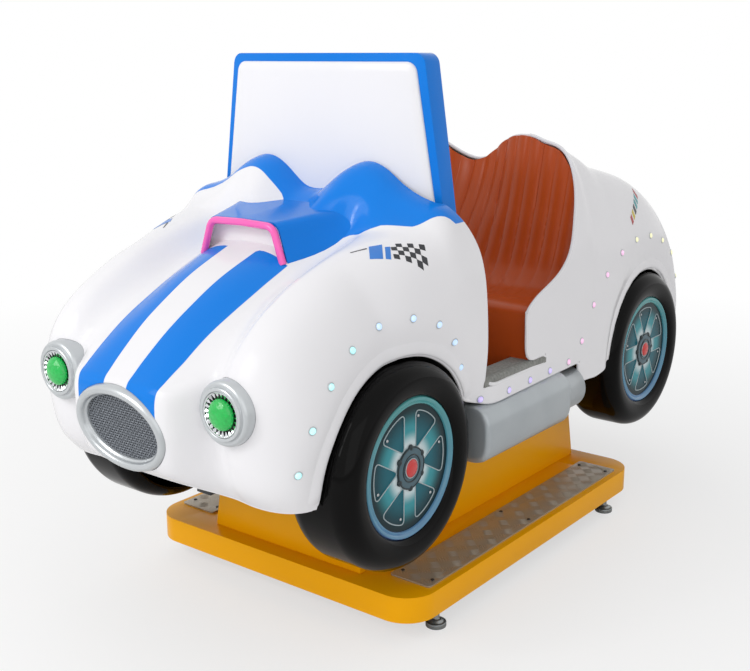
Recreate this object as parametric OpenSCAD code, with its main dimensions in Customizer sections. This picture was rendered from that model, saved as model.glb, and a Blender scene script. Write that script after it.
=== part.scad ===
// Coin-operated kiddie ride: a toy roadster that rocks on a plinth.
// Millimetres, +Z up. The nose points along -Y and +X is the car's left side.

/* [Body] */
// How far the nose reaches ahead of the middle
nose_reach = 738; // [725:1:750]
// How far the headlamp pods reach ahead of the middle
pod_reach = 690; // [680:1:700]
// How far the tail reaches behind the middle
tail_reach = 749; // [735:1:765]
// Half of the body's width at the front wheels
body_half_w = 325; // [319:1:331]
// Half of the body's width at the rear wheels
body_rear_half_w = 308; // [302:1:314]
// Half of the spacing of the two fender crowns
crown_x = 190; // [184:1:196]
// Thickness of the moulded body wall
wall = 6; // [5:0.5:8]
// Height of the body's lower edge
edge_z = 300; // [290:1:305]
// Height of the cowl on the centreline
cowl_z = 722; // [715:1:730]
// Height of the cowl at the fender crowns
shoulder_z = 698; // [692:1:706]
// Height of the two cowl domes above the cowl
dome_h = 54; // [46:1:60]
// Height of the rear crest on the centreline
crest_z = 748; // [740:1:756]
// Height of the two headrest humps above the crest
hump_h = 60; // [50:1:64]
// How far the front fenders draw in at the wheel arch
front_tuck = 24; // [16:1:28]
// How far the rear fenders draw in at the wheel arch
rear_tuck = 22; // [16:1:26]

/* [Wheels] */
// Distance between the front and rear wheel centres
wheelbase = 900; // [890:1:910]
// Tyre radius
tyre_r = 171; // [162:1:173]
// Front tyre width
tyre_w = 130; // [120:1:138]
// Rear tyre width
rear_tyre_w = 124; // [116:1:126]
// Gap between a tyre and its wheel arch
arch_gap = 7; // [5:1:12]
// Height of the wheel centres
axle_z = 322; // [318:1:326]
// Outer face of the front tyres from the middle
front_track_x = 322; // [318:1:326]
// Outer face of the rear tyres from the middle
rear_track_x = 299; // [295:1:303]
// Radius of the hub dish in each tyre
dish_r = 115; // [110:1:120]
// Depth of the hub dish
dish_depth = 17; // [15:1:22]

/* [Plinth] */
// Plinth width
base_w = 628; // [616:1:640]
// Plinth length
base_l = 818; // [800:1:840]
// Height of the plinth's lower edge above the floor
skirt_z = 37.5; // [34:0.5:42]
// Height of the plinth skirt
skirt_h = 46; // [44:1:52]
// Corner radius of the plinth
base_corner_r = 60; // [50:1:70]
// Plinth wall thickness
base_wall = 6; // [4:0.5:7]
// Pedestal width at its foot
pedestal_w = 350; // [344:1:360]
// Pedestal length at its foot
pedestal_l = 758; // [740:1:770]
// Height of the pedestal's top
pedestal_top_z = 240; // [230:1:245]
// Width of each tread plate
tread_w = 84; // [78:1:90]
// Length of each tread plate
tread_l = 690; // [660:1:700]
// Thickness of the tread plates
tread_t = 3; // [2:0.5:4]
// Foot pad diameter
foot_pad_d = 36; // [32:1:42]

/* [Windscreen] */
// Front of the windscreen on the centreline, behind the cowl domes
screen_y = -270; // [-274:1:-266]
// Height of the windscreen's top
screen_top_z = 953; // [940:1:965]
// Half width of the windscreen at its top
screen_top_half_w = 214; // [206:1:220]
// Half width of the windscreen at its foot
screen_foot_half_w = 256; // [250:1:258]
// Depth of the windscreen housing
screen_depth = 62; // [56:1:64]
// Bow of the windscreen over its half width
screen_bow = 18; // [10:1:22]

/* [Lamps and grille] */
// Headlamp bezel diameter
bezel_d = 98; // [90:1:104]
// Headlamp lens diameter
lens_d = 51; // [44:1:54]
// Half of the spacing of the headlamps
lamp_x = 186; // [182:1:192]
// Height of the headlamps
lamp_z = 458; // [452:1:464]
// Width of the grille ring
grille_w = 198; // [186:1:206]
// Height of the grille ring
grille_h = 140; // [130:1:146]
// Diameter of the small side lamps
led_d = 12; // [10:0.5:14]

/* [Cockpit] */
// Height of the cockpit floor
floor_z = 394; // [390:1:398]
// Front of the seat base
seat_front_y = -62; // [-68:1:-56]
// Height of the seat
seat_z = 514; // [500:1:524]
// Seat wall thickness
seat_t = 6; // [5:0.5:8]
// Number of flutes across the seat back
flute_n = 12; // [8:1:14]
// Depth of the seat's flutes
flute_depth = 4; // [2:0.5:5]
// Steering wheel diameter
steer_d = 205; // [180:1:220]
// Steering wheel grip diameter
grip_d = 22; // [18:1:26]

/* [Drive] */
// Distance from the rocking axis to the crank
lever_arm = 125; // [115:1:135]
// Throw of the crank
crank_r = 10.9; // [10:0.1:12]
// Crank roller diameter
roller_d = 30; // [26:1:34]
// Clearance between the roller and its slot
slot_gap = 3; // [2.6:0.1:4]
// Rocking shaft diameter
pivot_d = 25; // [20:1:30]
// Radial clearance of a turning fit
run_gap = 0.05; // [0.03:0.01:0.09]
// Gap between pieces that are seated on each other
seat_gap = 0.4; // [0.3:0.1:0.6]

/* [Hidden] */
$fn = 48;

white = [0.95, 0.95, 0.96];
blue = [0.13, 0.48, 0.92];
yellow = [0.92, 0.64, 0.0];
steel = [0.55, 0.57, 0.58];
black = [0.08, 0.08, 0.08];
silver = [0.72, 0.74, 0.75];
brown = [0.55, 0.2, 0.06];

// Places along the car
nose_y = -nose_reach;
pod_y = -pod_reach;
cowl_y = -285;
crest_y = 207;
tail_y = tail_reach;
mid_y = 34;
front_axle_y = mid_y - wheelbase / 2;
rear_axle_y = mid_y + wheelbase / 2;
arch_r = tyre_r + arch_gap;
liner_t = 5;
liner_inner_x = 184;
// Reach of cuts that go right through both sides of the body
side_reach = body_half_w + 65;

// Helpers
function mix(a, b, t) = a + (b - a) * t;
function smooth(t) = let (c = max(0, min(1, t))) c * c * (3 - 2 * c);
function unit(v) = v / norm(v);
function catmull(a, b, c, d, t) =
    0.5 * (2 * b + (c - a) * t + (2 * a - 5 * b + 4 * c - d) * t * t + (3 * b - a - 3 * c + d) * t * t * t);
function spline(p, n) = [
    for (i = [0 : len(p) - 2], k = [0 : n - 1])
        catmull(p[max(i - 1, 0)], p[i], p[i + 1], p[min(i + 2, len(p) - 1)], k / n),
    p[len(p) - 1]
];

// Body lines from the nose's lower edge over the hood to the cowl. Each row holds the centreline's
// place and height, the fender crown's place and height, dome, inward and downward valley shares.
front_lines = [
    [0.11, 0.06, 0.12, 0.00, 0, 0.4, 0], [0.04, 0.12, 0.05, 0.09, 0, 0.7, 0],
    [0.01, 0.23, 0.015, 0.22, 0, 1, 0], [0.00, 0.33, 0.00, 0.37, 0, 1, 0],
    [0.007, 0.42, 0.015, 0.505, 0, 1, 0.3], [0.044, 0.464, 0.064, 0.60, 0, 0.8, 0.6],
    [0.10, 0.516, 0.143, 0.68, 0, 0.5, 0.8], [0.194, 0.594, 0.247, 0.75, 0, 0.2, 0.9],
    [0.30, 0.665, 0.383, 0.82, 0, 0, 1], [0.43, 0.74, 0.543, 0.876, 0, 0, 1],
    [0.592, 0.808, 0.716, 0.923, 0, 0, 0.8], [0.746, 0.868, 0.82, 0.95, 0.02, 0, 0.4],
    [0.81, 0.898, 0.862, 0.965, 0.45, 0, 0.25], [0.87, 0.926, 0.91, 0.99, 0.9, 0, 0.1],
    [0.99, 1.00, 1.00, 1.055, 1, 0, 0]
];
// Rows over the cockpit, which the door and seat openings cut away above the sills
cockpit_lines = [[-215, 722, 719, 1], [-90, 726, 715, 0.4], [60, 738, 738, 0.4], [165, 746, 752, 1]];
// Rows from the crest over the tail to its lower edge, with the hump's share last
rear_lines = [
    [0.00, 1.00, 0.00, 1.00, 1], [0.09, 0.98, 0.09, 1.00, 0.54], [0.18, 0.96, 0.18, 0.99, 0.08],
    [0.30, 0.93, 0.30, 0.965, 0], [0.45, 0.865, 0.45, 0.92, 0], [0.60, 0.78, 0.60, 0.845, 0],
    [0.74, 0.665, 0.74, 0.735, 0], [0.86, 0.52, 0.855, 0.59, 0], [0.945, 0.36, 0.935, 0.41, 0],
    [1.00, 0.20, 0.985, 0.22, 0], [0.99, 0.07, 0.975, 0.07, 0], [0.96, 0.00, 0.945, 0.00, 0]
];
valley_in = 14;
valley_down = 36;
dome_in = 20;
dome_w = 196;
hump_w = 270;
crest_crown_z = crest_z - 13;
body_rows = spline(concat(
    [for (r = front_lines) [
        mix(nose_y, cowl_y, r[0]), mix(edge_z, cowl_z, r[1]),
        mix(pod_y, cowl_y, r[2]), mix(edge_z, shoulder_z, r[3]),
        r[4] * dome_h, 0, r[5] * valley_in, r[6] * valley_down]],
    [for (r = cockpit_lines) [r[0], r[1], r[0], r[2], r[0] < mid_y - 150 ? r[3] * dome_h : 0,
        r[0] > mid_y ? r[3] * hump_h : 0, 0, 0]],
    [for (r = rear_lines) [
        mix(crest_y, tail_y, r[0]), mix(edge_z, crest_z, r[1]),
        mix(crest_y, tail_y, r[2]), mix(edge_z, crest_crown_z, r[3]),
        0, r[4] * hump_h, 0, 0]]), 2);
row_n = len(body_rows);
// Half width of the body, and how full its shoulders are, along the car
function half_w(y) = mix(body_half_w, body_rear_half_w, smooth((y - front_axle_y) / wheelbase));
fullness_places = [
    [pod_y, 2.4], [-480, 2.4], [cowl_y, 4.6], [-90, 3], [crest_y, 2.4], [330, 2.8], [tail_y, 2.6]];
function fullness(y) = lookup(y, fullness_places);

// The hump rises from the centreline, and the dome beside it, and each falls again at its width
function hump(x) = pow(sin(180 * min(abs(x), hump_w) / hump_w), 1.5);
function dome(x) = pow(sin(180 * max(0, min(abs(x) - dome_in, dome_w)) / dome_w), 1.3);
// Place and height of a body row at a distance x from the centreline, up to the crown. The nose stays
// full round the grille and falls to the valley beside it, and the hood is crowned.
function row_point(r, x) =
    let (
        s = min(abs(x), crown_x) / crown_x,
        nose = r[6] / valley_in,
        c = 1 - smooth((s - mix(0.36, 0.52, nose)) / mix(0.4, 0.28, nose)),
        v = pow(sin(180 * pow(s, mix(1.8, 2.6, nose))), 2)
    )
    [mix(r[2], r[0], c) + v * r[6],
     mix(r[3], r[1], c) - v * r[7] + r[4] * dome(x) + r[5] * hump(x)];
// The fender turns down from the crown in a quarter ellipse, drawn in towards nose and tail, and
// it tucks in at the wheel arches over this width
tuck_w = 63;
function tuck_at(y, z) =
    let (
        front = norm([y - front_axle_y, z - axle_z]) - arch_r,
        rear = norm([y - rear_axle_y, z - axle_z]) - arch_r
    ) front_tuck * smooth(1 - front / tuck_w) + rear_tuck * smooth(1 - rear / tuck_w);
function side_point(r, a, sign) =
    let (
        p = row_point(r, crown_x) - [0, r[4] * dome(crown_x)],
        ym = max(front_axle_y, min(rear_axle_y, p[0])),
        n = fullness(p[0]),
        y = ym + (p[0] - ym) * pow(cos(a), 0.8),
        z = edge_z + (p[1] - edge_z) * pow(cos(a), 2 / n),
        x = crown_x + (half_w(y) - crown_x) * pow(sin(a), 2 / n) - tuck_at(y, z) * smooth(a / 60)
    ) [sign * x, y, z + r[4] * dome(x)];
function top_point(r, x) = let (p = row_point(r, x)) [x, p[0], p[1]];
turn_angles = [18, 35, 50, 64, 76, 88];
top_steps = 8;
body_grid = concat(
    [for (k = [len(turn_angles) - 1 : -1 : 0]) [for (r = body_rows) side_point(r, turn_angles[k], -1)]],
    [for (k = [-top_steps : top_steps]) [for (r = body_rows) top_point(r, crown_x * k / top_steps)]],
    [for (k = [0 : len(turn_angles) - 1]) [for (r = body_rows) side_point(r, turn_angles[k], 1)]]);
line_n = len(body_grid);
function body_normal(i, j) =
    let (
        du = body_grid[min(i + 1, line_n - 1)][j] - body_grid[max(i - 1, 0)][j],
        dv = body_grid[i][min(j + 1, row_n - 1)] - body_grid[i][max(j - 1, 0)]
    ) unit(cross(du, dv));
function inner_point(i, j) = body_grid[i][j] - wall * body_normal(i, j);

// Triangles of a sheet of n lines by m rows with a wall, outer points first and inner points after
function sheet_faces(n, m) = let (o = n * m) concat(
    [for (i = [0 : n - 2], j = [0 : m - 2]) each
        let (a = i * m + j, b = a + m, c = b + 1, d = a + 1)
        [[a, d, c], [a, c, b], [o + a, o + c, o + d], [o + a, o + b, o + c]]],
    [for (i = [0 : n - 2]) each
        let (a = i * m, b = a + m, d = a + m - 1, c = b + m - 1)
        [[a, b, o + b], [a, o + b, o + a], [c, d, o + d], [c, o + d, o + c]]],
    [for (j = [0 : m - 2]) each
        let (a = j, d = j + 1, b = (n - 1) * m + j, c = b + 1)
        [[d, a, o + a], [d, o + a, o + d], [b, c, o + c], [b, o + c, o + b]]]);

// Where a line along X at the given place and height leaves the car's left side
side_triangles = [
    for (i = [(line_n - 1) / 2 : line_n - 2], j = [0 : row_n - 2]) each
        let (l = body_grid[i], r = body_grid[i + 1])
        [[l[j], r[j], r[j + 1]], [l[j], r[j + 1], l[j + 1]]]];
function area_yz(a, b, c) = (b[1] - a[1]) * (c[2] - a[2]) - (c[1] - a[1]) * (b[2] - a[2]);
function side_hits(y, z) = [
    for (t = side_triangles)
        let (p = [0, y, z], w = area_yz(t[0], t[1], t[2]))
        if (abs(w) > 1e-6)
            let (u = area_yz(p, t[1], t[2]) / w, v = area_yz(t[0], p, t[2]) / w, q = 1 - u - v)
            if (u >= 0 && v >= 0 && q >= 0)
                [u * t[0] + v * t[1] + q * t[2], unit(cross(t[1] - t[0], t[2] - t[0]))]];
function side_hit(y, z) =
    let (h = side_hits(y, z), x = max([for (k = h) k[0][0]]))
    [for (k = h) if (k[0][0] == x) k][0];
function side_x(y, z) = side_hit(y, z)[0][0];
// Height of the hood and the rear deck at a place, up to the crown, straight between the body's lines
deck_low_z = edge_z + 150;
top_lines = [
    for (k = [0 : top_steps]) [
        for (r = body_rows) let (p = row_point(r, crown_x * k / top_steps)) if (p[1] > deck_low_z) p]];
function hood_z(x, y) =
    let (u = min(abs(x) / crown_x, 1) * top_steps, k = min(floor(u), top_steps - 1))
    mix(lookup(y, top_lines[k]), lookup(y, top_lines[k + 1]), u - k);
crown_line = [
    for (r = body_rows) let (p = row_point(r, crown_x))
        if (p[1] > deck_low_z) p - [0, r[4] * dome(crown_x)]];
function crown_z(y) = lookup(y, crown_line);
// Half width inside the body wall between the axles, clear of the wall's flat facets
facet_gap = 1.6;
function inside_x(y, z) =
    let (n = fullness(y), s = min(1, (z - edge_z) / (crown_z(y) - edge_z)))
    crown_x + (half_w(y) - crown_x) * pow(1 - pow(s, n), 1 / n) - tuck_at(y, z) - wall - facet_gap;

// Windscreen sizes
screen_foot_z = 660;
screen_back_y = screen_y + screen_depth;
panel_t = 8;
panel_inset = 14;
bow_r = (pow(screen_foot_half_w, 2) + pow(screen_bow, 2)) / (2 * screen_bow);
slot_side_gap = 1;

// Door opening in the car's side, from the sill up past the seat
sill_z = 405;
door_front_y = -214;
pad_end_y = -5;
pad_notch_z = 430;
door_outline = [
    [door_front_y, sill_z], [door_front_y, 590], [door_front_y - 6, 635], [door_front_y - 22, 672],
    [screen_y + 14, 705], [screen_y + 14, screen_top_z], [crest_y + 23, screen_top_z],
    [crest_y - 3, 830], [crest_y - 10, 790], [crest_y - 41, 700], [crest_y - 64, 650],
    [crest_y - 95, 592], [crest_y - 147, 556], [seat_front_y + 32, 528],
    [seat_front_y - 8, 508], [seat_front_y - 12, pad_notch_z], [pad_end_y, pad_notch_z], [pad_end_y, sill_z]
];

// The seat's rim bows back between the humps
seat_bow_depth = 50;
seat_bow_w = 150;
rim_cut_z = 690;
function seat_bow(x) = seat_bow_depth * (1 - smooth(abs(x) / seat_bow_w));

// Side pipe under each sill
pipe_top_z = 375;
pipe_r = 52;
pipe_front_y = -238;
pipe_step_y = 56;
pipe_rear_y = 132;
pipe_small_r = 42;
pipe_x = body_half_w - 37;

// Small side lamps: round the front arch, along the sill and over the rear arch
led_front_n = 9;
led_sill_n = 5;
led_rear_n = 10;
led_arc_r = arch_r + 63;
led_sill_z = 385;
led_sill_pitch = 75.5;
function led_front_angle(k) = 12 + 16.9 * k - 0.16 * k * k;
function led_front_r(t) = led_arc_r - (t < 78 ? 0.003 : 0.014) * pow(t - 78, 2);
function led_rear_angle(k) = 165 - 12.2 * k - 0.55 * k * k;
function led_rear_r(t) = led_arc_r + 0.0105 * pow(max(0, t - 60), 2);
led_points = concat(
    [for (k = [0 : led_front_n - 1]) let (t = led_front_angle(k), r = led_front_r(t))
        [front_axle_y - r * cos(t), axle_z + r * sin(t)]],
    [for (k = [0 : led_sill_n - 1]) [door_front_y - 3 + led_sill_pitch * k, led_sill_z]],
    [for (k = [0 : led_rear_n - 1]) let (t = led_rear_angle(k), r = led_rear_r(t))
        [rear_axle_y + r * cos(t), axle_z + r * sin(t)]]);
led_hole_gap = 0.3;
led_proud = 4;

// Lamp and grille places
lamp_face_y = pod_y - 12;
lamp_back_y = pod_y + 52;
grille_z = 408;
grille_y = nose_y + 12;
grille_tilt = 10;
ring_t = 12;
ring_depth = 44;
mesh_w = grille_w - 36;
mesh_h = grille_h - 36;

// Plinth and drive places
deck_z = skirt_z + skirt_h;
frame_top_z = deck_z - base_wall;
rail_w = 30;
rail_x = base_w / 2 - base_wall - rail_w / 2 - seat_gap;
foot_x = rail_x;
foot_y = base_l / 2 - 95;
cross_l = 2 * rail_x - rail_w;
bearer_t = 10;
post_x = 119;
post_t = 12;
crank_y = mid_y - lever_arm;
crank_z = 170;
crank_x = -30;
disc_t = 12;
disc_r = 34;
shaft_d = 22;
gearbox_w = 90;
gearbox_l = 120;
gearbox_top_z = 224;
motor_r = 58;
motor_l = 150;
yoke_t = 12;
yoke_foot_z = crank_z - roller_d / 2 - slot_gap - 22;
slot_l = 2 * 18 + roller_d + 2 * slot_gap;
tread_x = base_w / 2 - 14 - tread_w / 2;
screw_head_d = 8;
screw_d = 4;
screw_gap = 0.2;
stud_d = 12;
fit_gap = 0.1;
post_w = 68;
yoke_w = 90;
control_y = 240;

// Chassis places
chassis_x = 85;
chassis_w = 30;
chassis_h = 50;
chassis_top_z = axle_z + chassis_h / 2;
axle_d = 30;
cross_w = 34;
cross_h = 40;
front_cross_y = front_axle_y - arch_r - liner_t - cross_w / 2 - 12;
rear_cross_y = rear_axle_y + arch_r + liner_t + cross_w / 2;
tab_depth = 3.5;
pan_t = 6;
pan_gap = 9;
pan_rear_y = seat_front_y + 22;
dash_y = screen_y + 40;
dash_t = 6;

// Steering and controls
steer_tilt = 20;
column_z = 612;
steer_reach = 96;
column_d = 16;
boss_d = 46;
boss_l = 34;
horn_d = 52;
horn_stem_d = 20;
press_travel = 3;
start_x = 165;
start_z = 560;
start_d = 40;
start_stem_d = 28;
coin_x = -172;
coin_z = 555;
coin_w = 96;
coin_h = 130;
coin_t = 4;
coin_pin_d = 5;
coin_barrel_d = 11;
return_d = 22;
return_stem_d = 12;
return_z = coin_z - 12;
coin_slot_w = 6;
tray_w = 44;
lock_d = 18;

// Shared shapes
module rounded_plate(w, l, r, h) {
    linear_extrude(h) {
        square([w - 2 * r, l], center = true);
        square([w, l - 2 * r], center = true);
        for (sx = [-1, 1], sy = [-1, 1]) translate([sx * (w / 2 - r), sy * (l / 2 - r)]) circle(r);
    }
}
module along_y(y0, y1) { translate([0, y1, 0]) rotate([90, 0, 0]) linear_extrude(y1 - y0) children(); }
module both_sides() { children(); mirror([1, 0, 0]) children(); }
// A cylinder between two places along X
module rod_x(x0, x1, y, z, d) { translate([x0, y, z]) rotate([0, 90, 0]) cylinder(d = d, h = x1 - x0); }
// A cylinder between two places along Y
module rod_y(y0, y1, x, z, d) { translate([x, y1, z]) rotate([90, 0, 0]) cylinder(d = d, h = y1 - y0); }
// A block between two corners
module block(a, b) { translate(a) cube(b - a); }
// An outline of the car's side, pushed through its whole width
module through_sides(points) {
    translate([-side_reach, 0, 0]) rotate([90, 0, 90]) linear_extrude(2 * side_reach) polygon(points);
}
// Children laid along the steering column, with its axis up
module on_column() { translate([0, dash_y + dash_t, column_z]) rotate([-90 + steer_tilt, 0, 0]) children(); }

// Plinth cover with an open underside and a hatch under the pedestal
hatch_w = 2 * (post_x + post_t) + 34;
hatch_l = 640;
module tread_screw_places() {
    for (sx = [-1, 1], k = [-1, 0, 1], e = [-1, 1])
        translate([sx * tread_x + e * (tread_w / 2 - 11), k * (tread_l / 2 - 24), 0]) children();
}
module screw_hole(z0, z1) {
    translate([0, 0, z0]) cylinder(d = screw_d + 2 * screw_gap, h = z1 - z0, $fn = 24);
}
module base_cover() {
    color(yellow) difference() {
        translate([0, 0, skirt_z]) rounded_plate(base_w, base_l, base_corner_r, skirt_h);
        translate([0, 0, skirt_z - 1]) rounded_plate(base_w - 2 * base_wall, base_l - 2 * base_wall,
            base_corner_r - base_wall, skirt_h - base_wall + 1);
        block([-hatch_w / 2, -hatch_l / 2, frame_top_z - 1], [hatch_w / 2, hatch_l / 2, deck_z + 1]);
        tread_screw_places() screw_hole(frame_top_z - 1, deck_z + 1);
    }
}
// Tapered pedestal with slots for the posts and the yoke in its top
pedestal_y = 5;
pedestal_t = 5;
pedestal_scale = 0.95;
slot_low_z = deck_z + 20;
slot_margin = 10;
yoke_margin = 16;
inlet_gap = 0.5;
module pedestal_solid(inset, h) {
    translate([0, pedestal_y, deck_z])
        linear_extrude(h, scale = pedestal_scale)
            square([pedestal_w - 2 * inset, pedestal_l - 2 * inset], center = true);
}
module pedestal() {
    h = pedestal_top_z - deck_z;
    color(yellow) difference() {
        pedestal_solid(0, h);
        translate([0, 0, -0.01]) pedestal_solid(pedestal_t, h - pedestal_t);
        both_sides() block([post_x - slot_margin, mid_y - post_w / 2 - slot_margin, slot_low_z],
            [post_x + post_t + slot_margin, mid_y + post_w / 2 + slot_margin, pedestal_top_z + 5]);
        block([-yoke_t / 2 - yoke_margin, crank_y - yoke_w / 2 - yoke_margin, slot_low_z],
            [yoke_t / 2 + yoke_margin, crank_y + yoke_w / 2 + yoke_margin, pedestal_top_z + 5]);
        rod_y(pedestal_y + pedestal_l / 2 - 30, pedestal_y + pedestal_l / 2 + 5, 0, inlet_z,
            inlet_d + 2 * inlet_gap);
    }
}
// Mains inlet gland in the pedestal's rear wall
inlet_z = 130;
inlet_d = 26;
inlet_bore = 9;
module mains_inlet() {
    y = pedestal_y + pedestal_l / 2 * mix(1, pedestal_scale, (inlet_z - deck_z) / (pedestal_top_z - deck_z));
    color(black) difference() {
        union() {
            rod_y(y - 24, y + 3, 0, inlet_z, inlet_d);
            rod_y(y + 2.6, y + 10, 0, inlet_z, inlet_d + 12);
        }
        rod_y(y - 30, y + 20, 0, inlet_z, inlet_bore);
    }
}
module base_rail(side) {
    y = base_l / 2 - base_corner_r;
    color(steel) difference() {
        block([side * rail_x - rail_w / 2, -y, skirt_z], [side * rail_x + rail_w / 2, y, frame_top_z]);
        foot_places() translate([0, 0, skirt_z - 1]) cylinder(d = stud_d + 2 * fit_gap, h = skirt_h + 2);
        tread_screw_places() screw_hole(frame_top_z - 20, frame_top_z + 10);
    }
}
module base_rail_left() { base_rail(1); }
module base_rail_right() { base_rail(-1); }
module base_cross(y) {
    color(steel) block([-cross_l / 2, y - 20, skirt_z], [cross_l / 2, y + 20, frame_top_z]);
}
module base_cross_front() { base_cross(-base_l / 2 + base_corner_r + 30); }
module base_cross_rear() { base_cross(base_l / 2 - base_corner_r - 30); }
// Plate across the plinth that carries the drive and the pivot posts
module gear_bearer() {
    color(steel) block([-cross_l / 2, crank_y - gearbox_l / 2 - 30, frame_top_z - bearer_t],
        [cross_l / 2, mid_y + 150, frame_top_z]);
}
module tread_plate(side) {
    color(silver) difference() {
        translate([side * tread_x, 0, deck_z]) rounded_plate(tread_w, tread_l, 6, tread_t);
        tread_screw_places() screw_hole(deck_z - 1, deck_z + tread_t + 1);
    }
}
module tread_plate_left() { tread_plate(1); }
module tread_plate_right() { tread_plate(-1); }
module tread_screws() {
    color(black) tread_screw_places() {
        translate([0, 0, deck_z + tread_t])
            cylinder(d1 = screw_head_d, d2 = screw_head_d - 3, h = 2, $fn = 24);
        translate([0, 0, frame_top_z]) cylinder(d = screw_d, h = base_wall + tread_t, $fn = 24);
    }
}
nut_h = 8;
module foot_places() {
    for (sx = [-1, 1], sy = [-1, 1]) translate([sx * foot_x, sy * foot_y, 0]) children();
}
module levelling_feet() {
    color(steel) foot_places() {
        cylinder(d = foot_pad_d, h = 9);
        translate([0, 0, 9]) cylinder(d1 = foot_pad_d - 8, d2 = 18, h = 5);
        translate([0, 0, 13.9]) cylinder(d = stud_d, h = frame_top_z - 18);
    }
}
module foot_locknuts() {
    color(steel) foot_places() translate([0, 0, skirt_z - nut_h]) difference() {
        cylinder(d = 22, h = nut_h, $fn = 6);
        translate([0, 0, -1]) cylinder(d = stud_d + 2 * fit_gap, h = nut_h + 2);
    }
}
// Worm gearbox and its motor
gearbox_x = crank_x - 8;
module gearbox() {
    color([0.3, 0.4, 0.5]) difference() {
        block([gearbox_x - gearbox_w, crank_y - gearbox_l / 2, frame_top_z],
            [gearbox_x, crank_y + gearbox_l / 2, gearbox_top_z]);
        rod_x(gearbox_x - gearbox_w + 12, gearbox_x + 1, crank_y, crank_z, shaft_d + 2 * run_gap);
    }
}
module drive_motor() {
    x = gearbox_x - gearbox_w / 2;
    z = frame_top_z + motor_r + 10.5;
    y1 = crank_y - gearbox_l / 2;
    color([0.25, 0.3, 0.36]) difference() {
        union() {
            rod_y(y1 - 12, y1, x, z, 2 * motor_r);
            rod_y(y1 - motor_l, y1 - 11.9, x, z, 2 * motor_r - 12);
            rod_y(y1 - motor_l - 24, y1 - motor_l + 0.1, x, z, 2 * motor_r - 4);
        }
        rod_y(y1 - motor_l - 30, y1 - motor_l - 18, x, z, 70);
    }
}
module pivot_post(side) {
    x = side * (post_x + post_t / 2);
    color(steel) difference() {
        union() {
            block([x - post_t / 2, mid_y - post_w / 2, frame_top_z],
                [x + post_t / 2, mid_y + post_w / 2, axle_z]);
            rod_x(x - post_t / 2, x + post_t / 2, mid_y, axle_z, post_w);
            block([x - 14, mid_y - post_w / 2 - 16, frame_top_z],
                [x + 14, mid_y + post_w / 2 + 16, frame_top_z + 10]);
        }
        rod_x(-post_x - post_t - 5, post_x + post_t + 5, mid_y, axle_z, pivot_d + 2 * run_gap);
    }
}
module pivot_post_left() { pivot_post(1); }
module pivot_post_right() { pivot_post(-1); }
// Controller box on the plinth deck's rear, under the pedestal
module control_box() {
    color([0.7, 0.7, 0.68]) difference() {
        translate([0, control_y, frame_top_z]) rounded_plate(180, 150, 8, 92);
        translate([0, control_y, frame_top_z + 3]) rounded_plate(174, 144, 6, 84);
    }
}
// Crank with its pin, and the roller on it
crank_pin_d = 12;
pin_y = crank_y - crank_r;
module crank_disc() {
    color(steel) {
        rod_x(gearbox_x - gearbox_w + 20, crank_x + 0.1, crank_y, crank_z, shaft_d);
        rod_x(crank_x, crank_x + disc_t, crank_y, crank_z, 2 * disc_r);
        rod_x(crank_x + disc_t - 0.1, yoke_t / 2 + 6, pin_y, crank_z, crank_pin_d);
    }
}
module crank_roller() {
    color(silver) difference() {
        rod_x(-yoke_t / 2 - 1, yoke_t / 2 + 1, pin_y, crank_z, roller_d);
        rod_x(-yoke_t, yoke_t, pin_y, crank_z, crank_pin_d + 2 * run_gap);
    }
}
// Slotted yoke that the roller lifts and lowers, on a cross tube between the chassis rails
module yoke_plate() {
    x = chassis_x - chassis_w / 2;
    tube_z = axle_z - chassis_h / 2;
    slot_h = roller_d + 2 * slot_gap;
    color(steel) {
        block([-x, crank_y - 25, tube_z], [x, crank_y + 25, chassis_top_z]);
        difference() {
            block([-yoke_t / 2, crank_y - yoke_w / 2, yoke_foot_z],
                [yoke_t / 2, crank_y + yoke_w / 2, tube_z + 0.1]);
            block([-yoke_t, crank_y - slot_l / 2 + slot_h / 2, crank_z - slot_h / 2],
                [yoke_t, crank_y + slot_l / 2 - slot_h / 2, crank_z + slot_h / 2]);
            for (e = [-1, 1]) rod_x(-yoke_t, yoke_t, crank_y + e * (slot_l - slot_h) / 2, crank_z, slot_h);
        }
    }
}
// Chassis under the body
module chassis_rail(side) {
    color(black) difference() {
        block([side * chassis_x - chassis_w / 2, front_cross_y - cross_w / 2, axle_z - chassis_h / 2],
            [side * chassis_x + chassis_w / 2, rear_cross_y + cross_w / 2, chassis_top_z]);
        for (y = [front_axle_y, rear_axle_y]) rod_x(-200, 200, y, axle_z, axle_d + 2 * fit_gap);
        rod_x(-200, 200, mid_y, axle_z, pivot_d + 2 * run_gap);
    }
}
module chassis_rail_left() { chassis_rail(1); }
module chassis_rail_right() { chassis_rail(-1); }
// Cross tubes with their ends laminated into the body wall
module chassis_cross(y) {
    ends = [for (sy = [-1, 1], z = [chassis_top_z, chassis_top_z + cross_h]) side_x(y + sy * cross_w / 2, z)];
    x = min(ends) - wall + tab_depth;
    color(black) block([-x, y - cross_w / 2, chassis_top_z], [x, y + cross_w / 2, chassis_top_z + cross_h]);
}
module chassis_cross_front() { chassis_cross(front_cross_y); }
module chassis_cross_rear() { chassis_cross(rear_cross_y); }
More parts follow.
